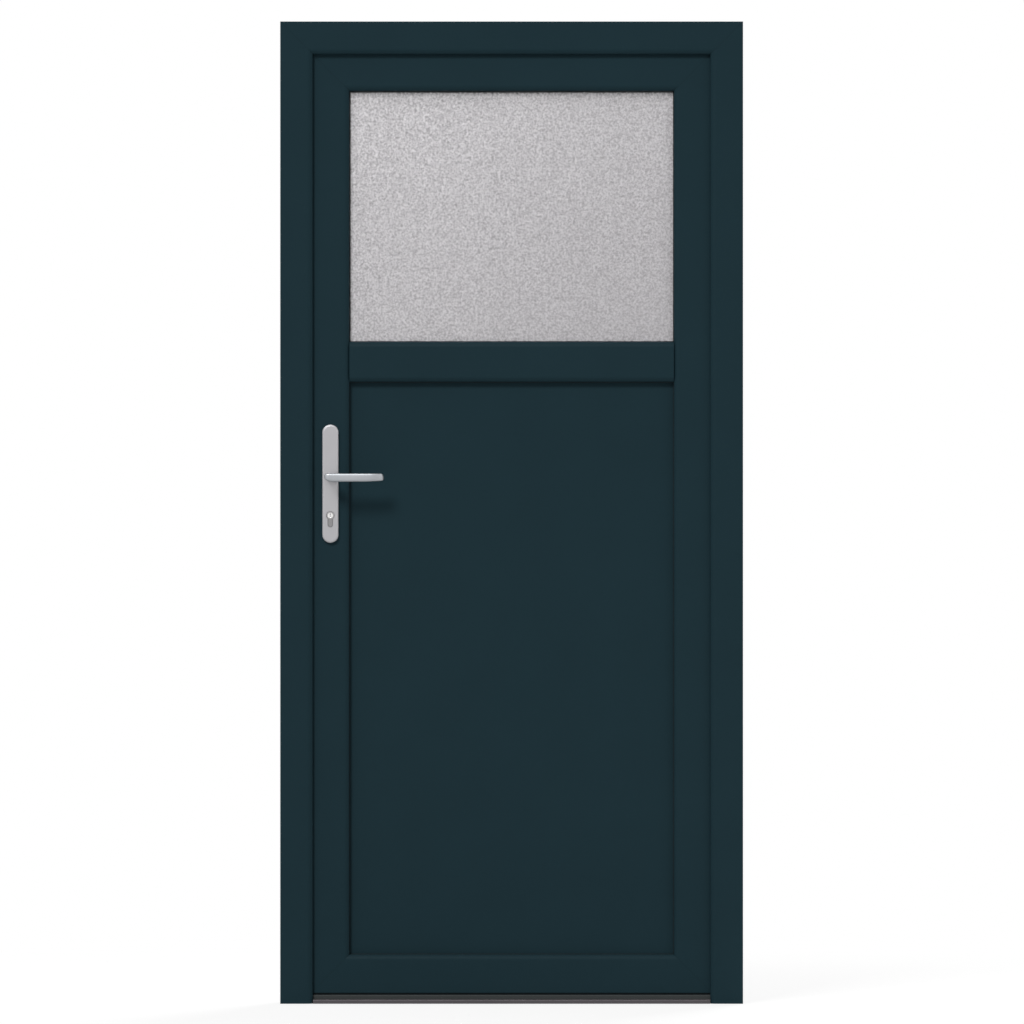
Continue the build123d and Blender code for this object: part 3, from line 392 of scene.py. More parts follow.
class Tree(Graph):
    """Graph of one material, on the object's own coordinates."""

    def __init__(self, name: str) -> None:
        """Start a material with only its output and its coordinates."""
        self.material = bpy.data.materials.new(name)
        self.material.use_nodes = True
        super().__init__(self.material.node_tree)
        self.output = self.node("ShaderNodeOutputMaterial")
        self.place = self.node("ShaderNodeTexCoord").outputs["Object"]

    def axes(self) -> bpy.types.bpy_prop_collection:
        """The three coordinates, apart."""
        return self.node("ShaderNodeSeparateXYZ", {0: self.place}).outputs

    def mapped(self, size: float, stretch: Triple = (1, 1, 1)) -> Socket:
        """Coordinates counted in steps of size millimetres, drawn out by stretch."""
        scale = tuple(1 / (size * MM * s) for s in stretch)
        return self.node("ShaderNodeMapping", {"Vector": self.place, "Scale": scale}).outputs[0]

    def noise(self, size: float, detail: float, stretch: Triple = (1, 1, 1), rough: float = 0.5) -> Socket:
        """Noise with blobs about size millimetres across, drawn out by stretch."""
        inputs = {"Vector": self.mapped(size, stretch), "Scale": 1.0, "Detail": detail, "Roughness": rough}
        return self.node("ShaderNodeTexNoise", inputs).outputs[0]

    def remap(self, value: Value, low: float, high: float, to_low: float = 0.0,
              to_high: float = 1.0) -> Socket:
        """Value moved from one range to another, smoothly, and held at its ends."""
        return self.node("ShaderNodeMapRange", {0: value, 1: low, 2: high, 3: to_low, 4: to_high},
                         interpolation_type="SMOOTHSTEP").outputs[0]

    def blend(self, share: Value, low: Colour | Socket, high: Colour) -> Socket:
        """Colour between two others, the first of which may be worked out."""
        low = low if isinstance(low, Socket) else (*low, 1)
        return self.node("ShaderNodeMix", {0: share, 6: low, 7: (*high, 1)}, data_type="RGBA").outputs[2]

    def tones(self, share: Value, colour: Colour, spread: float) -> Socket:
        """Colour that runs from darker to lighter by a spread each way."""
        return self.blend(share, shade(colour, 1 - spread), shade(colour, 1 + spread))

    def bump(self, height: Value, depth: float, strength: float, **under: Socket) -> Socket:
        """Normal of a surface whose height runs over depth millimetres, on a Normal under it."""
        inputs = {"Height": height, "Distance": depth * MM, "Strength": strength, **under}
        return self.node("ShaderNodeBump", inputs).outputs[0]

    def surface(self, **values: object) -> Socket:
        """Main shader, its inputs named with underscores for spaces."""
        inputs = {key.replace("_", " "): value for key, value in values.items()}
        return self.node("ShaderNodeBsdfPrincipled", inputs).outputs[0]

    def show(self, shader: Socket) -> Material:
        """Link a shader to the output and give the material."""
        self.tree.links.new(shader, self.output.inputs["Surface"])
        return self.material


def shade(colour: Colour, factor: float) -> Colour:
    """Colour made lighter or darker by a factor."""
    return tuple(min(1.0, c * factor) for c in colour)


@dataclass(frozen=True)
class Foil:
    """Coloured foil on plastic: a fine grain, faint cloudy shifts of tone and gloss, and scraped
    weld lines on the mitres of the ends that are named."""

    name: str
    colour: Colour = (0.0082, 0.0216, 0.0278)
    spread: float = 0.07
    cloud: float = 160.0
    grain: float = 0.55
    coarse_grain: float = 2.75
    grain_depth: float = 0.018
    gloss_patch: float = 12.0
    gloss: Span = (0.47, 0.53)
    specular: float = 0.045
    seams: tuple[str, ...] = ()
    half_width: float = 490.0
    top: float = 2080.0
    low: float = -43.0
    seam_half: float = 0.8
    seam_depth: float = 0.08
    seam_tint: float = 0.3
    seam_shade: float = 0.55

    def seam(self, tree: Tree) -> Socket:
        """Weld lines: where the distances from the side edge and from the end are equal."""
        x, _, z = tree.axes()
        inwards = tree.less(self.half_width * MM, tree.math("ABSOLUTE", x))
        lines = []
        if "top" in self.seams:
            lines.append(tree.less(tree.less(self.top * MM, z), inwards))
        if "low" in self.seams:
            lines.append(tree.less(tree.less(z, self.low * MM), inwards))
        near = [tree.math("ABSOLUTE", line) for line in lines]
        distance = tree.least(*near) if len(near) > 1 else near[0]
        return tree.remap(distance, self.seam_half * MM, 2 * self.seam_half * MM, 1.0, 0.0)

    def make(self) -> Material:
        """Build the material."""
        tree = Tree(self.name)
        colour = tree.tones(tree.noise(self.cloud, 3), self.colour, self.spread)
        coarse = tree.times(tree.noise(self.coarse_grain, 2), 0.6)
        grain = tree.plus(tree.noise(self.grain, 3, rough=0.6), coarse)
        normal = tree.bump(grain, self.grain_depth, 0.6)
        if self.seams:
            seam = self.seam(tree)
            colour = tree.blend(tree.times(seam, self.seam_tint), colour, shade(self.colour, self.seam_shade))
            normal = tree.bump(tree.less(1.0, seam), self.seam_depth, 0.6, Normal=normal)
        rough = tree.remap(tree.noise(self.gloss_patch, 3), *NOISE_SPAN, *self.gloss)
        return tree.show(tree.surface(Base_Color=colour, Roughness=rough, Normal=normal,
                                      Specular_IOR_Level=self.specular))


@dataclass(frozen=True)
class Metal:
    """Metal with brush lines and clouds of tone and gloss. One region of it may differ in colour,
    be more matt, or be plastic: the classes after it say where that region lies. The colour there is a
    painted highlight on the back plates, painted shade on the cylinder's stem, and on the threshold's riser a
    dark plastic's colour that is in part painted shade."""

    name: str
    colour: Colour
    gloss: Span = (0.28, 0.40)
    brush: Triple = (1, 1, 1)
    brush_size: float = 0.6
    brush_depth: float = 0.01
    spread: float = 0.06
    cloud: float = 45.0
    cloud_gloss: float = 0.4
    specular: float = 0.5
    region_colour_with_painted_light: Colour = (1, 1, 1)
    region_matt: float = 0.0
    region_plastic: bool = False

    def region(self, tree: Tree) -> Socket | None:
        """Share of the region, from 0 to 1: plain metal has none."""
        return None

    def make(self) -> Material:
        """Build the material."""
        tree = Tree(self.name)
        lines, cloud = tree.noise(self.brush_size, 3, self.brush, 0.6), tree.noise(self.cloud, 3)
        colour = tree.tones(cloud, self.colour, self.spread)
        mixed = tree.plus(tree.times(lines, 1 - self.cloud_gloss), tree.times(cloud, self.cloud_gloss))
        rough = tree.remap(mixed, *NOISE_SPAN, *self.gloss)
        region = self.region(tree)
        if region is not None:
            # The region's colour is painted light and shade, as each class below sets it.
            colour = tree.blend(region, colour, self.region_colour_with_painted_light)
            rough = tree.plus(rough, tree.times(region, self.region_matt))
        metallic = tree.less(1.0, region) if self.region_plastic else 1.0
        return tree.show(tree.surface(Base_Color=colour, Metallic=metallic, Roughness=rough,
                                      Normal=tree.bump(lines, self.brush_depth, 0.7),
                                      Specular_IOR_Level=self.specular))


@dataclass(frozen=True)
class PlateMetal(Metal):
    """Metal of the back plates, whose region is the chamfered rim: lighter there, a painted highlight of the
    chamfer, and more matt.
    """

    rim: Span = (13.2, 14.6)

    def region(self, tree: Tree) -> Socket:
        """Rim, by the distance from the plate's middle line, which ends at the round ends'
        centres: the root of the squares of x and of the height past that line."""
        x, _, z = tree.axes()
        middle, half = sum(PLATE_Z) / 2, (PLATE_Z[1] - PLATE_Z[0]) / 2
        past = tree.math("MAXIMUM", tree.less(tree.away(z, middle), (half - PLATE_HALF_WIDTH) * MM), 0.0)
        across = tree.away(x, LOCK_X)
        out = tree.math("SQRT", tree.plus(tree.times(across, across), tree.times(past, past)))
        return tree.remap(out, self.rim[0] * MM, self.rim[1] * MM)


@dataclass(frozen=True)
class CylinderMetal(Metal):
    """Nickel on the cylinder's housing, whose region is the stem below its round part, darker there by
    painted shade.
    """

    stem: Span = (1026.0, 1029.0)

    def region(self, tree: Tree) -> Socket:
        """Stem: what lies below a height."""
        return tree.remap(tree.axes()[2], self.stem[0] * MM, self.stem[1] * MM, 1.0, 0.0)


@dataclass(frozen=True)
class ThresholdMetal(Metal):
    """Anodised tread and front lip of the threshold, whose region is the riser between them: dark plastic
    there, its darkness in part painted shade below the leaf.
    """

    riser_y: Span = (-18.3, -18.0)
    riser_z: Span = (8.9, 9.6)

    def region(self, tree: Tree) -> Socket:
        """Riser: what stands in front of a depth and over a height."""
        _, y, z = tree.axes()
        front = tree.remap(y, self.riser_y[0] * MM, self.riser_y[1] * MM, 1.0, 0.0)
        return tree.times(front, tree.remap(z, self.riser_z[0] * MM, self.riser_z[1] * MM))


@dataclass(frozen=True)
class Spangle:
    """Zinc-coated steel: crystal patches that differ in tone and gloss."""

    name: str
    colour: Colour = (0.42, 0.43, 0.44)
    light: Span = (0.75, 1.20)
    patch: float = 9.0
    gloss: Span = (0.35, 0.60)
    grain: float = 1.5
    grain_depth: float = 0.02

    def make(self) -> Material:
        """Build the material."""
        tree = Tree(self.name)
        patches = tree.node("ShaderNodeTexVoronoi", {"Vector": tree.mapped(self.patch), "Scale": 1.0})
        tone = tree.node("ShaderNodeSeparateColor", {0: patches.outputs["Color"]}).outputs[0]
        colour = tree.blend(tone, *[shade(self.colour, light) for light in self.light])
        rough = tree.remap(tone, 0, 1, *self.gloss)
        return tree.show(tree.surface(Base_Color=colour, Metallic=0.9, Roughness=rough,
                                      Normal=tree.bump(tree.noise(self.grain, 2), self.grain_depth, 0.5)))


@dataclass(frozen=True)
class Soft:
    """Rubber, sealant or plastic: matt, with fine skin and pale dust."""

    name: str
    colour: Colour
    gloss: Span = (0.55, 0.75)
    dust: Colour = (0.10, 0.10, 0.10)
    dust_size: float = 25.0
    dust_span: Span = (0.45, 0.75)
    dust_share: float = 0.12
    skin: float = 0.8
    skin_depth: float = 0.03
    specular: float = 0.3

    def make(self) -> Material:
        """Build the material."""
        tree = Tree(self.name)
        skin = tree.noise(self.skin, 3, rough=0.6)
        dust = tree.times(tree.remap(tree.noise(self.dust_size, 4), *self.dust_span), self.dust_share)
        colour = tree.blend(dust, tree.tones(skin, self.colour, 0.1), self.dust)
        rough = tree.remap(skin, *NOISE_SPAN, *self.gloss)
        return tree.show(tree.surface(Base_Color=colour, Roughness=rough, Specular_IOR_Level=self.specular,
                                      Normal=tree.bump(skin, self.skin_depth, 0.6)))


def lamps_pass(tree: Tree, glass: Socket, colour: Colour) -> Socket:
    """Glass that lets the rays of lamps through, tinted, so that what is behind it is lit."""
    clear = tree.node("ShaderNodeBsdfTransparent", {0: (*colour, 1)}).outputs[0]
    ray = tree.node("ShaderNodeLightPath").outputs["Is Shadow Ray"]
    return tree.node("ShaderNodeMixShader", {0: ray, 1: glass, 2: clear}).outputs[0]


@dataclass(frozen=True)
class ClearGlass:
    """Float glass of the inner pane, faintly wavy."""

    name: str
    tint: Colour = (0.96, 0.98, 0.97)
    smear: float = 90.0
    smear_span: Span = (0.35, 0.70)
    smear_gloss: Span = (0.0, 0.05)
    wave: float = 140.0
    wave_depth: float = 0.05

    def make(self) -> Material:
        """Build the material."""
        tree = Tree(self.name)
        smear = tree.remap(tree.noise(self.smear, 4), *self.smear_span, *self.smear_gloss)
        glass = tree.surface(Base_Color=(*self.tint, 1), Roughness=smear, Transmission_Weight=1.0, IOR=1.5,
                             Normal=tree.bump(tree.noise(self.wave, 2), self.wave_depth, 0.4))
        return tree.show(lamps_pass(tree, glass, self.tint))


@dataclass(frozen=True)
class OrnamentGlass:
    """Cast glass with a pebbled face, frosted, in painted light and shade: a pale and dark mottle for the
    pebbles' refraction and glints, a slow fade from painted light at one corner to painted shade at the
    other, and frayed painted shade of the lips along the edges."""

    name: str
    pale: Colour = (0.79, 0.77, 0.785)
    dark: Colour = (0.27, 0.257, 0.27)
    pebble: float = 4.8
    painted_mottle_layers: tuple[tuple[float, float, float], ...] = ((1.0, 0.55, 0.62), (0.4, 0.5, 0.22), (2.2, 0.5, 0.16))
    painted_mottle_span: Span = (0.33, 0.67)
    frost: float = 0.34
    dimple: float = 2.4
    dimple_depth: float = 0.12
    painted_light_drift: float = 0.40
    see_through: float = 0.72
    seen: Box = (-344.0, 344.0, 1402.0, 1934.0)
    # Widths of the painted shade along the left, right, bottom and top edges.
    rims: Box = (3.0, 1.0, 1.8, 4.5)
    painted_shade_fray: float = 2.5
    painted_shade_fade: Span = (0.55, 1.25)
    painted_shade_share: float = 0.9
    painted_shade_tone: float = 0.12

    def painted_mottle(self, tree: Tree) -> Socket:
        """Painted light and shade of the pebbled face: three noises added, each with its size in pebbles, its
        roughness and its weight.
        """
        return tree.plus(*[tree.times(tree.noise(self.pebble * size, 2, rough=rough), weight)
                           for size, rough, weight in self.painted_mottle_layers])

    def make(self) -> Material:
        """Build the material.

        Painted shade of the lips: the distance from each of the four edges is counted in widths of that
        edge's band of shade, the least of them is frayed by the mottle, and what is left under about one is
        painted dark.
        """
        tree = Tree(self.name)
        x, _, z = tree.axes()
        painted_mottle = self.painted_mottle(tree)
        # Painted light and shade: a mottle from dark to pale in place of the pebbles' refraction and glints.
        colour = tree.blend(tree.remap(painted_mottle, *self.painted_mottle_span), self.dark, self.pale)
        x0, x1, z0, z1 = (at * MM for at in self.seen)
        across = tree.plus(tree.remap(x, x0, x1), tree.remap(z, z1, z0))
        # Painted light: lighter at the top left corner, fading into painted shade at the bottom right.
        colour = tree.blend(tree.times(across, self.painted_light_drift / 2), colour, self.dark)
        edges = zip((x, x, z, z), self.seen, self.rims)
        inside = tree.least(*[tree.math("DIVIDE", tree.away(along, at), wide * MM)
                              for along, at, wide in edges])
        painted_shade_reach = tree.plus(inside, tree.times(tree.less(painted_mottle, 0.5), self.painted_shade_fray))
        rim = tree.remap(painted_shade_reach, *self.painted_shade_fade, self.painted_shade_share, 0.0)
        # Painted shade of the lips on the pane.
        colour = tree.blend(rim, colour, shade(self.dark, self.painted_shade_tone))
        glass = tree.surface(Base_Color=colour, Roughness=self.frost, IOR=1.45,
                             Transmission_Weight=self.see_through,
                             Normal=tree.bump(tree.noise(self.dimple, 2), self.dimple_depth, 0.5))
        return tree.show(lamps_pass(tree, glass, shade(self.pale, self.see_through)))


# Furniture
@dataclass
class Lever:
    """Lever handle: a flattened bar with round ends, on a neck that flares into it."""

    name: str
    node: str
    side: Side
    base: float
    pivot: Pair = (LOCK_X, SPINDLE_Z)
    head: float = 12.0
    length: float = 114.0
    height: float = 17.6
    thickness: float = 11.0
    thinning: float = 0.12
    projection: float = 50.0
    tip_return: float = 6.0
    return_length: float = 30.0
    taper: float = 2.2
    taper_length: float = 44.0
    taper_power: float = 1.5
    head_level: float = 2.2
    head_rounds: Triple = (9.0, 18.0, 10.0)
    tip_level: float = -2.0
    tip_rounds: Triple = (6.5, 3.5, 6.0)
    drop: float = 1.1
    neck: float = 7.7
    neck_into: float = 0.55
    sunk: float = 2.9
    flare: float = 2.4
    flare_length: float = 8.0
    flare_room: float = 0.1
    power: float = 4.6
    stations: int = 72
    steps: int = 40

    def bar(self) -> np.ndarray:
        """Sections along the bar.

        Stations are cosine spaced from head to tip. The top edge, the underside and the
        thickness each close at both ends as a quarter ellipse of its own length. The underside
        rises and the bar bends back to the door over the last stretch, by a power of the way
        along it.
        """
        t = (1 - np.cos(np.linspace(0, pi, self.stations))) / 2
        x = -self.head + t * (self.head + self.length)

        def close(way: np.ndarray, reach: float) -> np.ndarray:
            """Height of a quarter ellipse at a way in from its end."""
            return np.sqrt(np.maximum(1 - (1 - np.clip(way / reach, 0, 1)) ** 2, 0))

        bend = np.clip((x - self.length + self.return_length) / self.return_length, 0, 1)
        rise = np.clip((x - self.length + self.taper_length) / self.taper_length, 0, 1)
        out = self.projection - self.thickness / 2 - self.tip_return * bend ** 2
        top = np.full_like(x, self.height / 2)
        underside = self.taper * rise ** self.taper_power - self.height / 2
        edges = []
        for edge, head_round, tip_round in zip((top, underside), self.head_rounds, self.tip_rounds):
            edge = self.head_level + (edge - self.head_level) * close(x + self.head, head_round)
            edges.append(self.tip_level + (edge - self.tip_level) * close(self.length - x, tip_round))
        middle, half = (edges[0] + edges[1]) / 2, (edges[0] - edges[1]) / 2
        thin = self.thickness / 2 * (1 - self.thinning * rise)
        thin *= close(x + self.head, self.head_rounds[2]) * close(self.length - x, self.tip_rounds[2])
        section = superellipse(thin, half, self.power, self.steps)
        across = self.base + self.side.value * (out[:, None] + section[..., 0])
        along = np.broadcast_to(self.pivot[0] + x[:, None], across.shape)
        return np.stack([along, across, self.pivot[1] - self.drop + middle[:, None] + section[..., 1]], 2)

    def stem(self) -> np.ndarray:
        """Neck: a straight round bar whose radius grows into the bar as a quarter ellipse does,
        no higher than the bar is."""
        start = self.projection - self.thickness * self.neck_into - self.flare_length
        t = np.linspace(0, pi / 2, 9)
        curve = np.stack([self.neck + self.flare * (1 - np.cos(t)), start + self.flare_length * np.sin(t)], 1)
        rows = np.concatenate([[[self.neck, -self.sunk]], curve])
        outlines = discs(rows[:, 0], self.steps)
        outlines[..., 1] *= np.clip((self.height / 2 - self.drop - self.flare_room) / rows[:, :1], 0, 1)
        return facing(outlines, rows[:, 1], self.pivot, self.base, self.side)

    def build(self, finishes: Finishes) -> None:
        """Make the lever and set it on the handles."""
        shell = Shell().add(self.bar()).plug(self.stem())
        shell.piece(self.name, "handle_alloy", Body.HANDLES, finishes, (self.node,))


@dataclass
class BackPlate:
    """Long back plate with a soft chamfered rim, a bearing for the lever and a cylinder hole."""

    name: str
    node: str
    side: Side
    base: float
    thickness: float
    rim: float = 3.0
    rim_drop: float = 2.0
    rim_rounds: Span = (1.4, 2.2)
    bearing: float = 8.1
    cylinder_room: float = 0.3
    hole_edge: float = 0.35
    hole_depth: float = 3.0
    screws: tuple[float, ...] = ()
    screw_hole: float = 4.7

    def holes(self) -> list[tuple[np.ndarray, np.ndarray, float]]:
        """Openings in the face: the outline, the outline of its softened rim, and the height."""
        e, room = self.hole_edge, self.cylinder_room
        found = [(circle(self.bearing, 48), circle(self.bearing + e, 48), SPINDLE_Z),
                 (euro_outline(room), euro_outline(room + e), CYLINDER_Z)]
        for z in self.screws:
            found.append((circle(self.screw_hole, 32), circle(self.screw_hole + e, 32), z))
        return found

    def build(self, finishes: Finishes) -> None:
        """Make the plate: rings of slot shapes that shrink over the rounded rim, then the face."""
        t, far = self.thickness, 2 * PLATE_HALF_WIDTH
        middle, half = sum(PLATE_Z) / 2, (PLATE_Z[1] - PLATE_Z[0]) / 2
        corner = rounded([(-far, 0), (0, 0), (0, t - self.rim_drop), (self.rim, t), (far, t)],
                         [0, 0, *self.rim_rounds, 0], 8)
        rows = corner[(corner[:, 0] >= -1e-6) & (corner[:, 0] < PLATE_HALF_WIDTH)]
        outlines = np.stack([stadium(PLATE_HALF_WIDTH - d, half - d, 96) for d in rows[:, 0]])
        body = facing(outlines, rows[:, 1], (LOCK_X, middle), self.base, self.side)
        shell = Shell().add(body).cap(body[0])
        levels = np.array([t, t - self.hole_edge, t - self.hole_depth])
        rims = [shell.pit(facing(np.stack([rim, hole, hole]), levels, (LOCK_X, z), self.base, self.side))
                for hole, rim, z in self.holes()]
        shell.cap(body[-1], *rims)
        shell.piece(self.name, "handle_alloy", Body.LEAF, finishes, (self.node,), "plate_alloy")


def euro_outline(grow: float = 0.0, steps: int = 40) -> np.ndarray:
    """Outline of a profile cylinder about the centre of its round part.

    A large arc, open at the bottom by the stem's width, then a half circle at the stem's foot.
    """
    radius, half = EURO_RADIUS + grow, EURO_STEM + grow
    open_angle = np.arcsin(half / radius)
    top = arc(radius, open_angle - pi / 2, 3 * pi / 2 - open_angle, steps)
    return np.concatenate([top, arc(half, -pi, 0, steps // 2, (0, -EURO_DROP))])


@dataclass
class Cylinder:
    """Profile cylinder: a housing with a soft front edge and a plug with a keyway at each end."""

    centre: Pair = (LOCK_X, CYLINDER_Z)
    span: Span = (-29.5, 60.5)
    cam: Span = (20.15, 30.85)
    cam_room: float = 13.35
    plug: float = 6.3
    plug_back: float = 0.2
    plug_edge: float = 0.45
    bore: float = 6.4
    bore_edge: float = 0.3
    edge: float = 0.5
    keyway: Pair = (2.2, 8.6)
    keyway_depth: float = 20.0
    keyway_flare: float = 1.12
    bridge_into: float = 2.0
    bridge_round: float = 4.5

    def key_slot(self) -> np.ndarray:
        """Keyway: a narrow slot with one rib stepping in from each side."""
        w, h = self.keyway[0] / 2, self.keyway[1] / 2
        right = [(w, -h), (w, -h * 0.25), (w * 0.2, -h * 0.1), (w * 0.2, h * 0.2), (w, h * 0.35), (w, h)]
        left = [(-w, h), (-w, h * 0.1), (-w * 0.35, 0), (-w * 0.35, -h * 0.45), (-w, -h * 0.6)]
        return rounded([(-w, -h), *right, *left], 0.15, 3)

    def housing_half(self, shell: Shell, face: float, back: float, side: Side) -> None:
        """One end of the housing, from its face to the cam's room, bored for the plug."""
        depth = abs(face - back)
        outlines = np.stack([euro_outline(grow) for grow in (0, 0, -self.edge)])
        body = facing(outlines, np.array([0.0, depth - self.edge, depth]), self.centre, back, side)
        bore = facing(discs([self.bore, self.bore, self.bore + self.bore_edge], 40),
                      np.array([0.0, depth - self.bore_edge, depth]), self.centre, back, side)
        shell.add(body).add(bore).cap(body[0], bore[0]).cap(body[-1], bore[-1])

    def key_plug(self, face: float, back: float, side: Side) -> Shell:
        """Plug: a round bar with a chamfered face and the keyway sunk into it."""
        depth = abs(face - back)
        body = facing(discs([self.plug, self.plug, self.plug - self.plug_edge], 48),
                      np.array([0.0, depth - self.plug_edge, depth]), self.centre, back, side)
        slot = self.key_slot()
        rings = np.stack([slot * self.keyway_flare, slot, slot])
        levels = np.array([depth, depth - self.bore_edge, depth - self.keyway_depth])
        shell = Shell().add(body).cap(body[0])
        return shell.cap(body[-1], shell.pit(facing(rings, levels, self.centre, back, side)))

    def bridge(self) -> np.ndarray:
        """What joins the two ends below the cam: the stem's foot, flat at its top."""
        half, low, high = EURO_STEM, -EURO_DROP - EURO_STEM, -self.cam_room
        section = rounded([(-half, low), (half, low), (half, high), (-half, high)],
                          [self.bridge_round, self.bridge_round, 0, 0], 8)
        rows = np.array([self.cam[0] - self.bridge_into, self.cam[1] + self.bridge_into])
        return facing(np.stack([section, section]), rows, self.centre, 0.0, Side.INSIDE)

    def build(self, finishes: Finishes) -> None:
        """Make the housing and both plugs."""
        housing, sides = Shell(), (Side.OUTSIDE, Side.INSIDE)
        ends = list(zip(self.span, self.cam, sides, (Body.OUTSIDE_KEY, Body.INSIDE_KEY)))
        for face, back, side, _ in ends:
            self.housing_half(housing, face, back, side)
        housing.plug(self.bridge())
        housing.piece("lock_cylinder", "cylinder_nickel", Body.LEAF, finishes, ("cylinder_body",))
        for face, back, side, body in ends:
            end = side.name.lower()
            plug = self.key_plug(face - side.value * self.plug_back, back, side)
            plug.piece(f"key_plug_{end}", "cylinder_nickel", body, finishes, (f"plug_{end}",), "plug_nickel")


@dataclass
class ScrewHead:
    """Flat screw head with a cross recess, its rim softened."""

    radius: float = 4.4
    recess: float = 1.3
    arm: float = 0.62
    width: float = 0.16
    fillet: float = 0.4
    narrowing: float = 0.45
    soft: float = 0.25
    under: Span = (-1.6, -0.9)
    under_share: float = 0.8

    def cross(self) -> np.ndarray:
        """Outline of the recess: four arms, each a quarter turn from the last."""
        arm, width = self.radius * self.arm, self.radius * self.width
        corners, points = [(width, width), (arm, width), (arm, -width)], []
        for _ in range(4):
            points += corners
            corners = [(z, -x) for x, z in corners]
        return rounded(points, width * self.fillet, 3)

    def add(self, shell: Shell, centre: Pair, base: float, side: Side) -> None:
        """Put a head into a shell.

        Args:
            shell: Shell that it goes into.
            centre: Place of the screw as (x, z).
            base: Depth of the head's top along Y.
            side: The way that the head looks.
        """
        radii = [self.radius * self.under_share, self.radius, self.radius, self.radius - self.soft]
        head = facing(discs(radii, 32), np.array([*self.under, -self.soft, 0.0]), centre, base, side)
        cross = np.stack([self.cross(), self.cross() * self.narrowing])
        shell.add(head).cap(head[0])
        shell.cap(head[-1], shell.pit(facing(cross, np.array([0.0, -self.recess]), centre, base, side)))


@dataclass
class PlateScrews:
    """Through screws of the back plates: the heads show on the inside."""

    base: float = 59.75
    shank: float = 2.4
    reach: Span = (-1.0, -85.0)

    def build(self, finishes: Finishes) -> None:
        """Make both screws, each with its shank."""
        shell = Shell()
        for z in PLATE_SCREWS_Z:
            ScrewHead().add(shell, (LOCK_X, z), self.base, Side.INSIDE)
            shank = discs([self.shank, self.shank], 20)
            shell.plug(facing(shank, np.array(self.reach), (LOCK_X, z), self.base, Side.INSIDE))
        shell.piece("plate_screw_heads", "screw_steel", Body.LEAF, finishes, ("plate_screws",))


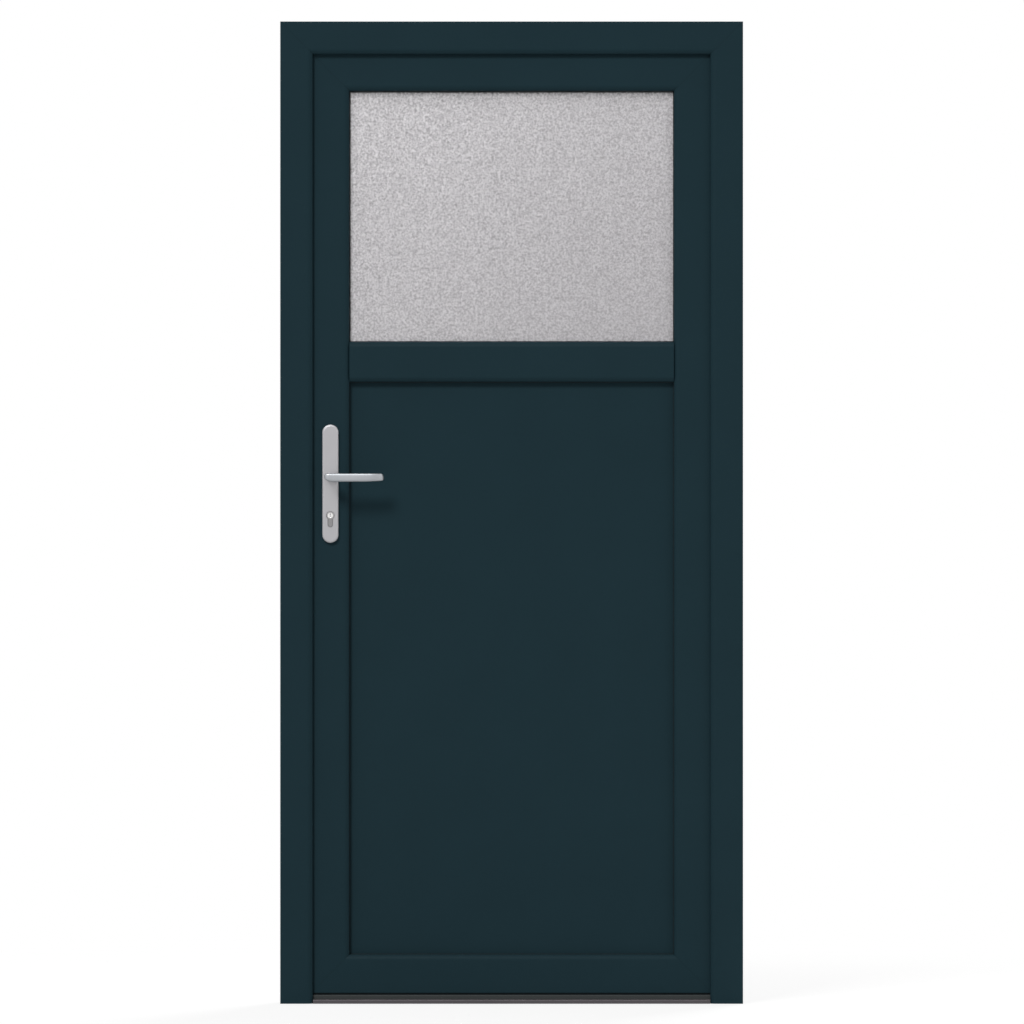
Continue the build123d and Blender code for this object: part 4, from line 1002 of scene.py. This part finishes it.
# Hinges
@dataclass
class Hinges:
    """Three surface hinges: brackets with screw holes, knuckles round the pin, and end caps."""

    heights: tuple[float, ...] = (230.0, 1040.0, 1850.0)
    axis: Pair = (455.0, 62.0)
    radius: float = 10.0
    half: float = 60.0
    end_knuckle: float = 30.0
    middle_half: float = 28.1
    pin: float = 4.05
    bush: float = 6.61
    frame_plate: Box = (453.0, 487.0, 35.0, 39.5)
    leaf_plate: Box = (399.0, 443.0, 51.0, 55.5)
    leaf_arm: Pair = (433.0, 57.0)
    plate_round: float = 4.0
    edge: float = 0.8
    edge_shares: Pair = (0.65, 0.3)
    screw_x: Pair = (472.0, 405.0)
    screw_rows: tuple[float, ...] = (-45.0, -15.0, 15.0, 45.0)
    screw_low: float = 0.2
    hole_room: float = 0.2
    hole_edge: float = 0.35
    hole_depth: float = 2.0
    knuckle_soft: float = 0.35
    stub: float = 1.5
    stub_room: float = 0.1
    cap_edge: float = 0.3
    dome: float = 2.4
    dome_foot: float = 0.6

    def plate(self, shell: Shell, box: Box, screw_x: float, z: float) -> None:
        """Bracket plate with round corners, a soft edge and a hole round each screw head."""
        x0, x1, y0, y1 = box
        e, t = self.edge, y1 - y0

        def plate_outline(inset: float) -> np.ndarray:
            """Outline of the plate, drawn in from its edges."""
            left, right, h = x0 + inset, x1 - inset, self.half - inset
            return rounded([(left, -h), (right, -h), (right, h), (left, h)], self.plate_round - inset, 8)

        outer, inner = plate_outline(0.0), plate_outline(e)
        share, fall = self.edge_shares
        rings = np.stack([outer, outer, outer * (1 - share) + inner * share, inner])
        body = facing(rings, np.array([0, t - e, t - e * fall, t]), (0, z), y0, Side.INSIDE)
        shell.add(body).cap(body[0])
        hole = ScrewHead().radius + self.hole_room
        walls = discs([hole + self.hole_edge, hole, hole], 28)
        levels = np.array([t, t - self.hole_edge, t - self.hole_depth])
        rims = [shell.pit(facing(walls, levels, (screw_x, z + row), y0, Side.INSIDE))
                for row in self.screw_rows]
        shell.cap(body[-1], *rims)

    def knuckle(self, shell: Shell, outline: np.ndarray, bore: float, span: Span) -> None:
        """Knuckle: one outline seen from above, carried up the hinge's axis, bored for the pin."""
        low, high = span
        centre, edge = np.array(self.axis), self.knuckle_soft
        soft = centre + (outline - centre) * (1 - edge / self.radius)
        rings = [(soft, low), (outline, low + edge), (outline, high - edge), (soft, high)]
        body = np.stack([np.column_stack([o, np.full(len(o), z)]) for o, z in rings])
        hole = np.stack([np.column_stack([circle(bore, 32, self.axis), np.full(32, z)]) for z in span])
        shell.add(body).add(hole).cap(body[0], hole[0]).cap(body[-1], hole[-1])

    def frame_outline(self) -> np.ndarray:
        """Frame knuckle from above: a foot on the frame, straight up to the barrel and round it."""
        x, foot = self.axis[0], self.frame_plate[2]
        barrel = arc(self.radius, 0, 1.5 * pi, 40, self.axis)
        return np.concatenate([[[x, foot], [x + self.radius, foot]], barrel])

    def leaf_outline(self) -> np.ndarray:
        """Leaf knuckle from above: an arm from the leaf's plate into the barrel."""
        foot = self.leaf_plate[2]
        barrel = arc(self.radius, -pi / 2, 7 * pi / 6, 40, self.axis)
        return np.concatenate([[[self.axis[0], foot]], barrel, [self.leaf_arm, [self.leaf_arm[0], foot]]])

    def cap(self, shell: Shell, z: float, up: float) -> None:
        """End cap: a low dome turned about the pin, with a stub in the bore."""
        r, stub, e = self.radius, self.pin - self.stub_room, self.cap_edge
        t = np.linspace(0, pi / 2, 7)
        dome = np.stack([r - self.dome + self.dome * np.cos(t), self.dome_foot + self.dome * np.sin(t)], 1)
        rows = np.concatenate([[[0, -self.stub], [stub, -self.stub], [stub, 0.0], [r - e, 0.0], [r, e]], dome,
                               [[0, self.dome_foot + self.dome]]])
        rows[:, 1] *= up
        shell.add(turned(rows, (*self.axis, z)))

    def build(self, finishes: Finishes) -> None:
        """Make all three hinges as five pieces: two brackets, the caps and two sets of screws."""
        fixed, moving, caps, frame_screws, leaf_screws = (Shell() for _ in range(5))
        h = self.half
        sides = ((fixed, frame_screws, self.frame_plate, self.screw_x[0]),
                 (moving, leaf_screws, self.leaf_plate, self.screw_x[1]))
        for z in self.heights:
            for span in ((z - h, z - h + self.end_knuckle), (z + h - self.end_knuckle, z + h)):
                self.knuckle(fixed, self.frame_outline(), self.pin, span)
            self.knuckle(moving, self.leaf_outline(), self.bush, (z - self.middle_half, z + self.middle_half))
            for up in (1, -1):
                self.cap(caps, z + up * h, up)
            for plates, screws, box, x in sides:
                self.plate(plates, box, x, z)
                for row in self.screw_rows:
                    ScrewHead().add(screws, (x, z + row), box[3] - self.screw_low, Side.INSIDE)
        for shell, name, slot, body, node in (
                (fixed, "hinge_frame_parts", "hinge_paint", Body.FRAME, "hinge_frame_brackets"),
                (moving, "hinge_leaf_parts", "hinge_paint", Body.LEAF, "hinge_leaf_brackets"),
                (caps, "hinge_end_caps", "hinge_paint", Body.FRAME, "hinge_caps"),
                (frame_screws, "frame_hinge_screw_heads", "screw_steel", Body.FRAME, "hinge_frame_screws"),
                (leaf_screws, "leaf_hinge_screw_heads", "screw_steel", Body.LEAF, "hinge_leaf_screws")):
            shell.piece(name, slot, body, finishes, (node,))


# Infill and seals
@dataclass
class OrnamentPane:
    """Outer pane of the glass unit, its face pebbled in the mesh."""

    rect: Box = (-357.0, 357.0, 1389.0, 1947.0)
    span: Span = (0.5, 4.5)
    pitch: float = 2.15
    relief: float = 0.34
    waves: Span = (4.2, 10.0)
    squeeze: float = 0.8
    border: Span = (9.6, 21.6)
    seed: int = 11

    def height(self, rows: int, columns: int) -> np.ndarray:
        """Pebbled relief from 0 to 1: white noise of one seed, kept only between two wavelengths
        by its Fourier transform, then squeezed by an error-like curve."""
        noise = np.fft.rfft2(np.random.default_rng(self.seed).standard_normal((rows, columns)))
        fz, fx = np.fft.fftfreq(rows, self.pitch)[:, None], np.fft.rfftfreq(columns, self.pitch)[None, :]
        f = np.hypot(fz, fx)
        band = 1 / (1 + (f * self.waves[0]) ** 8) * (1 - np.exp(-((f * self.waves[1]) ** 2)))
        field = np.fft.irfft2(noise * band, (rows, columns))
        return 0.5 + 0.5 * np.tanh(field / field.std() * self.squeeze)

    def build(self, finishes: Finishes) -> None:
        """Make the pane: a pebbled face, flat at its border, a flat back and four edges."""
        x0, x1, z0, z1 = self.rect
        columns, rows = int((x1 - x0) / self.pitch), int((z1 - z0) / self.pitch)
        x, z = np.linspace(x0, x1, columns)[None, :], np.linspace(z0, z1, rows)[:, None]
        inwards = np.minimum(np.minimum(x - x0, x1 - x), np.minimum(z - z0, z1 - z))
        start, end = self.border
        sunk = self.relief * np.clip((inwards - start) / (end - start), 0, 1)
        y = self.span[0] + sunk * (1 - self.height(rows, columns))
        face = np.stack([np.broadcast_to(x, y.shape), y, np.broadcast_to(z, y.shape)], 2)
        rim = np.concatenate([face[0, :-1], face[:-1, -1], face[-1, :0:-1], face[:0:-1, 0]])
        back = rim * (1, 0, 1) + (0, self.span[1], 0)
        shell = Shell().add(face, loop=False).add(np.stack([rim, back])).cap(back)
        shell.piece("ornament_pane", "ornament_glass", Body.LEAF, finishes, ("pane_outside",))


@dataclass
class Strip:
    """Seal, gasket or bead round a rectangle, from one section."""

    name: str
    slot: str
    body: Body
    nodes: tuple[str, ...]
    rect: Box
    section: np.ndarray
    sides: tuple[str, ...] = ()
    gap: float = 0.0
    foot: float | None = None
    finish: str = ""

    def build(self, finishes: Finishes) -> None:
        """Make one closed ring, a ring open at its feet, or a mitred bar on each named side."""
        shell = Shell()
        if self.foot is not None:
            ring = closed_ring(self.section, self.rect)
            feet = ring[[0, 1]].copy()
            feet[..., 2] = self.foot
            shell.plug(np.stack([feet[0], ring[3], ring[2], feet[1]]))
        elif self.sides:
            for side in self.sides:
                shell.plug(mitred_bar(self.section, self.rect, side, self.gap))
        else:
            shell.add(closed_ring(self.section, self.rect), closed=True)
        shell.piece(self.name, self.slot, self.body, finishes, self.nodes, self.finish)


FRAME_SEAL_RECT = (-490.0, 490.0, -60.0, 2080.0)
LEAF_SEAL_RECT = (-448.0, 448.0, 11.0, 2038.0)
GLASS_RECT = (-362.0, 362.0, 1384.0, 1952.0)
PANEL_RECT = (-362.0, 362.0, 85.0, 1335.0)
BEAD_GAP = 0.08


def gasket_section() -> np.ndarray:
    """Outside gasket: a foot behind the lip and a round nose that shows past it."""
    return rounded([(10, -3), (18, -3), (19.5, -2.1), (19.5, 0.5), (10, 0.5)], [0.2, 0.1, 0.9, 0.5, 0.2], 5)


def bead_section() -> np.ndarray:
    """Glazing bead: a soft lip on the infill, a sloped and rounded face, and a foot."""
    lip = [(0, 27.0), (10.5, 27.0), (13, 24.5), (16.5, 24.5), (18, 27.0)]
    face = [(18, 45.0), (12, 51.0), (0, 51.0)]
    foot = [(0, 43.8), (-2.6, 43.8), (-2.6, 41.2), (0, 41.2)]
    return rounded(lip + face + foot, [0.2, 0.5, 0.5, 0.9, 0.8, 2.5, 2.5, 0.3, 0, 0.2, 0.2, 0], 6)


def crowned_section(u: Span, y: Span) -> np.ndarray:
    """Soft seal: a flat foot, sloped cheeks and a round crown with a fold along its middle."""
    (u0, u1), (y0, y1) = u, y
    w, h, m = u1 - u0, y1 - y0, (u0 + u1) / 2
    cheek, fold_depth, crown, fold = h * 0.45, h * 0.25, w * 0.2, w * 0.1
    small, large = 0.2, abs(h) * 0.3
    right = [(u1, y0), (u1, y0 + cheek), (u1 - crown, y1), (m + fold, y1)]
    left = [(m - fold, y1), (u0 + crown, y1), (u0, y0 + cheek)]
    return rounded([(u0, y0), *right, (m, y1 - fold_depth), *left],
                   [small, small, large, large, small, small, small, large, large], 5)


def strips() -> list[Strip]:
    """All strips of the door."""
    found = [
        Strip("frame_seal_strip", "seal_rubber", Body.FRAME, ("frame_seal",), FRAME_SEAL_RECT,
              crowned_section((57.5, 66.5), (-22.5, -19.3)), foot=18.3),
        Strip("leaf_seal_strip", "seal_rubber", Body.LEAF, ("leaf_seal",), LEAF_SEAL_RECT,
              crowned_section((0, 6), (38.5, 35.3))),
    ]
    infills = (("glass", GLASS_RECT, "seal_rubber"), ("panel", PANEL_RECT, "worn_rubber"))
    found += [Strip(f"{infill}_gasket", "seal_rubber", Body.LEAF, (f"{infill}_gasket_outside",), rect,
                    gasket_section(), finish=rubber)
              for infill, rect, rubber in infills]
    ways = (("level", "across", ("top", "bottom")), ("standing", "upright", ("left", "right")))
    return found + [Strip(f"{infill}_beads_{way}", "bead_foil", Body.LEAF, (f"{infill}_beads_{node}",), rect,
                          bead_section(), sides, BEAD_GAP)
                    for infill, rect, _ in infills for way, node, sides in ways]


# The whole door
def door_finishes() -> Finishes:
    """Every finish, by the record's material slot, and a few more for single pieces."""
    upright = {"brush": (1, 1, 40), "brush_size": 0.25, "brush_depth": 0.006}
    round_brushed = {"brush": (1, 8, 1), "brush_size": 0.4, "brush_depth": 0.006}
    plate, nickel = (0.405, 0.402, 0.415), (0.36, 0.355, 0.36)
    made = [
        Foil("profile_foil", seams=("top", "low")),
        Foil("frame_foil", seams=("top",)),
        Foil("bead_foil"),
        Foil("panel_skin", gloss=(0.42, 0.54)),
        Spangle("galvanised_steel"),
        Soft("seal_rubber", (0.0050, 0.0078, 0.0092), dust=(0.018, 0.024, 0.027), specular=0.06),
        Soft("worn_rubber", (0.0095, 0.0150, 0.0175), dust=(0.020, 0.027, 0.030), specular=0.06),
        OrnamentGlass("ornament_glass"),
        ClearGlass("clear_glass"),
        Metal("spacer_alloy", (0.50, 0.51, 0.52), (0.35, 0.5)),
        Soft("edge_sealant", (0.012, 0.012, 0.012), dust_share=0.05),
        Soft("block_plastic", (0.25, 0.045, 0.03), (0.4, 0.55), dust_share=0.05),
        # The riser's dark plastic colour is in part painted shade below the leaf.
        ThresholdMetal("threshold_alloy", (0.078, 0.072, 0.077), (0.38, 0.5), (60, 1, 1), 0.5,
                       cloud_gloss=0.0, specular=0.2, region_colour_with_painted_light=(0.027, 0.031, 0.031),
                       region_plastic=True),
        Metal("handle_alloy", (0.335, 0.35, 0.368), (0.42, 0.50), **upright),
        # The plate's rim is lighter by a painted highlight.
        PlateMetal("plate_alloy", plate, (0.30, 0.38), **upright, cloud_gloss=0.0,
                   region_colour_with_painted_light=shade(plate, 1.12), region_matt=0.30),
        # The cylinder's stem is darker by painted shade.
        CylinderMetal("cylinder_nickel", nickel, (0.3, 0.4), **round_brushed, cloud=12.0, cloud_gloss=0.0,
                      region_colour_with_painted_light=shade(nickel, 0.70)),
        Metal("plug_nickel", (0.80, 0.795, 0.785), (0.16, 0.24), **round_brushed),
        Metal("lock_steel", (0.45, 0.46, 0.47), (0.30, 0.42), (1, 1, 40), 0.4),
        Soft("hinge_paint", (0.022, 0.032, 0.037), (0.35, 0.48), dust_share=0.06, skin=1.2),
        Metal("screw_steel", (0.48, 0.49, 0.50), (0.28, 0.4)),
        Soft("bush_nylon", (0.62, 0.61, 0.58), (0.35, 0.5), dust_share=0.1),
        Metal("cast_zinc", (0.40, 0.40, 0.41), (0.45, 0.6), brush_size=1.2, brush_depth=0.03),
    ]
    return {finish.name: finish.make() for finish in made}


def dress_solids(finishes: Finishes) -> None:
    """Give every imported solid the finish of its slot; the fixed frame gets its own weld lines."""
    for name, solid in frame["nodes"].items():
        slot = solid.material_slots[0].material.name.split(".")[0]
        key = "frame_foil" if slot == "profile_foil" and solid["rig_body"] == Body.FRAME.value else slot
        solid.material_slots[0].material = finishes[key]
        log.info("%s: %s", name, key)


@dataclass
class Studio:
    """Floor, lamps, world and camera, in metres."""

    floor_half: float = 6.0
    floor_z: float = -0.0004
    pale: float = 0.80
    fade: Span = (0.9, 2.4)
    least_white: float = 0.84
    ambient: float = 0.32
    aim: float = 1.04
    lens: float = 300.0
    eye: Triple = (0.0008, -18.103, 1.0413)

    def floor(self) -> None:
        """Pale floor that fades into the white background away from the object."""
        mesh = bpy.data.meshes.new("floor")
        h, z = self.floor_half, self.floor_z
        mesh.from_pydata([(-h, -h, z), (h, -h, z), (h, h, z), (-h, h, z)], [], [(0, 1, 2, 3)])
        floor = bpy.data.objects.new("floor", mesh)
        bpy.context.scene.collection.objects.link(floor)
        tree = Tree("pale_floor")
        away = tree.node("ShaderNodeVectorMath", {0: tree.place}, operation="LENGTH").outputs["Value"]
        share = tree.times(tree.seen(), tree.remap(away, *self.fade, self.least_white, 1.0))
        white = tree.node("ShaderNodeEmission", {"Color": (1, 1, 1, 1), "Strength": 1.0}).outputs[0]
        pale = tree.surface(Base_Color=(*(self.pale,) * 3, 1), Roughness=0.9, Specular_IOR_Level=0.1)
        mix = tree.node("ShaderNodeMixShader", {0: share, 1: pale, 2: white})
        mesh.materials.append(tree.show(mix.outputs[0]))

    def world(self) -> None:
        """White to look at and in reflections, a softer grey as light."""
        world = bpy.data.worlds.new("studio")
        bpy.context.scene.world = world
        world.use_nodes = True
        graph = Graph(world.node_tree)
        strength = graph.node("ShaderNodeMapRange", {0: graph.seen(), 3: self.ambient, 4: 1.0}).outputs[0]
        background = graph.node("ShaderNodeBackground", {0: (1, 1, 1, 1), 1: strength}).outputs[0]
        graph.node("ShaderNodeOutputWorld", {0: background})

    def lamp(self, name: str, azimuth: float, elevation: float, distance: float, size: float,
             power: float) -> None:
        """Square soft box that looks at the middle of the door.

        Args:
            name: Name of the lamp.
            azimuth: Degrees round from the front, to the right.
            elevation: Degrees above the middle of the door.
            distance: Metres from it.
            size: Width in metres.
            power: Watts.
        """
        light = bpy.data.lights.new(name, "AREA")
        light.shape, light.size, light.energy = "SQUARE", size, power
        lamp = bpy.data.objects.new(name, light)
        a, e = radians(azimuth), radians(elevation)
        away = Vector((np.sin(a) * np.cos(e), -np.cos(a) * np.cos(e), np.sin(e)))
        lamp.location = Vector((0, 0, self.aim)) + away * distance
        lamp.rotation_mode = "QUATERNION"
        lamp.rotation_quaternion = away.to_track_quat("Z", "Y")
        bpy.context.scene.collection.objects.link(lamp)

    def camera(self) -> None:
        """Long lens, square on to the outside face."""
        data = bpy.data.cameras.new("camera")
        data.lens, data.clip_end = self.lens, 100
        camera = bpy.data.objects.new("camera", data)
        camera.location, camera.rotation_euler = self.eye, (pi / 2, 0, 0)
        bpy.context.scene.collection.objects.link(camera)
        bpy.context.scene.camera = camera

    def build(self) -> None:
        """Set up the studio."""
        bpy.context.scene.view_settings.view_transform = "Standard"
        self.camera()
        self.floor()
        self.world()
        self.lamp("key", -22, 38, 24.0, 6.0, 4550)
        self.lamp("fill", 50, 12, 16.0, 8.0, 250)
        self.lamp("back_key", 158, 38, 24.0, 6.0, 4550)
        self.lamp("back_fill", -130, 12, 16.0, 8.0, 250)


def main() -> None:
    """Build and dress the whole door, then its studio."""
    logging.basicConfig(level=logging.INFO, format="%(name)s: %(message)s")
    finishes = door_finishes()
    dress_solids(finishes)
    BackPlate("back_plate_outside", "plate_outside", Side.OUTSIDE, -19.0, 9.5).build(finishes)
    BackPlate("back_plate_inside", "plate_inside", Side.INSIDE, 51.0, 9.0,
              screws=PLATE_SCREWS_Z).build(finishes)
    Lever("outside_lever", "lever_outside", Side.OUTSIDE, -28.5).build(finishes)
    Lever("inside_lever", "lever_inside", Side.INSIDE, 60.0).build(finishes)
    Cylinder().build(finishes)
    PlateScrews().build(finishes)
    Hinges().build(finishes)
    OrnamentPane().build(finishes)
    for strip in strips():
        strip.build(finishes)
    Studio().build()


if __name__ == "__main__":
    main()
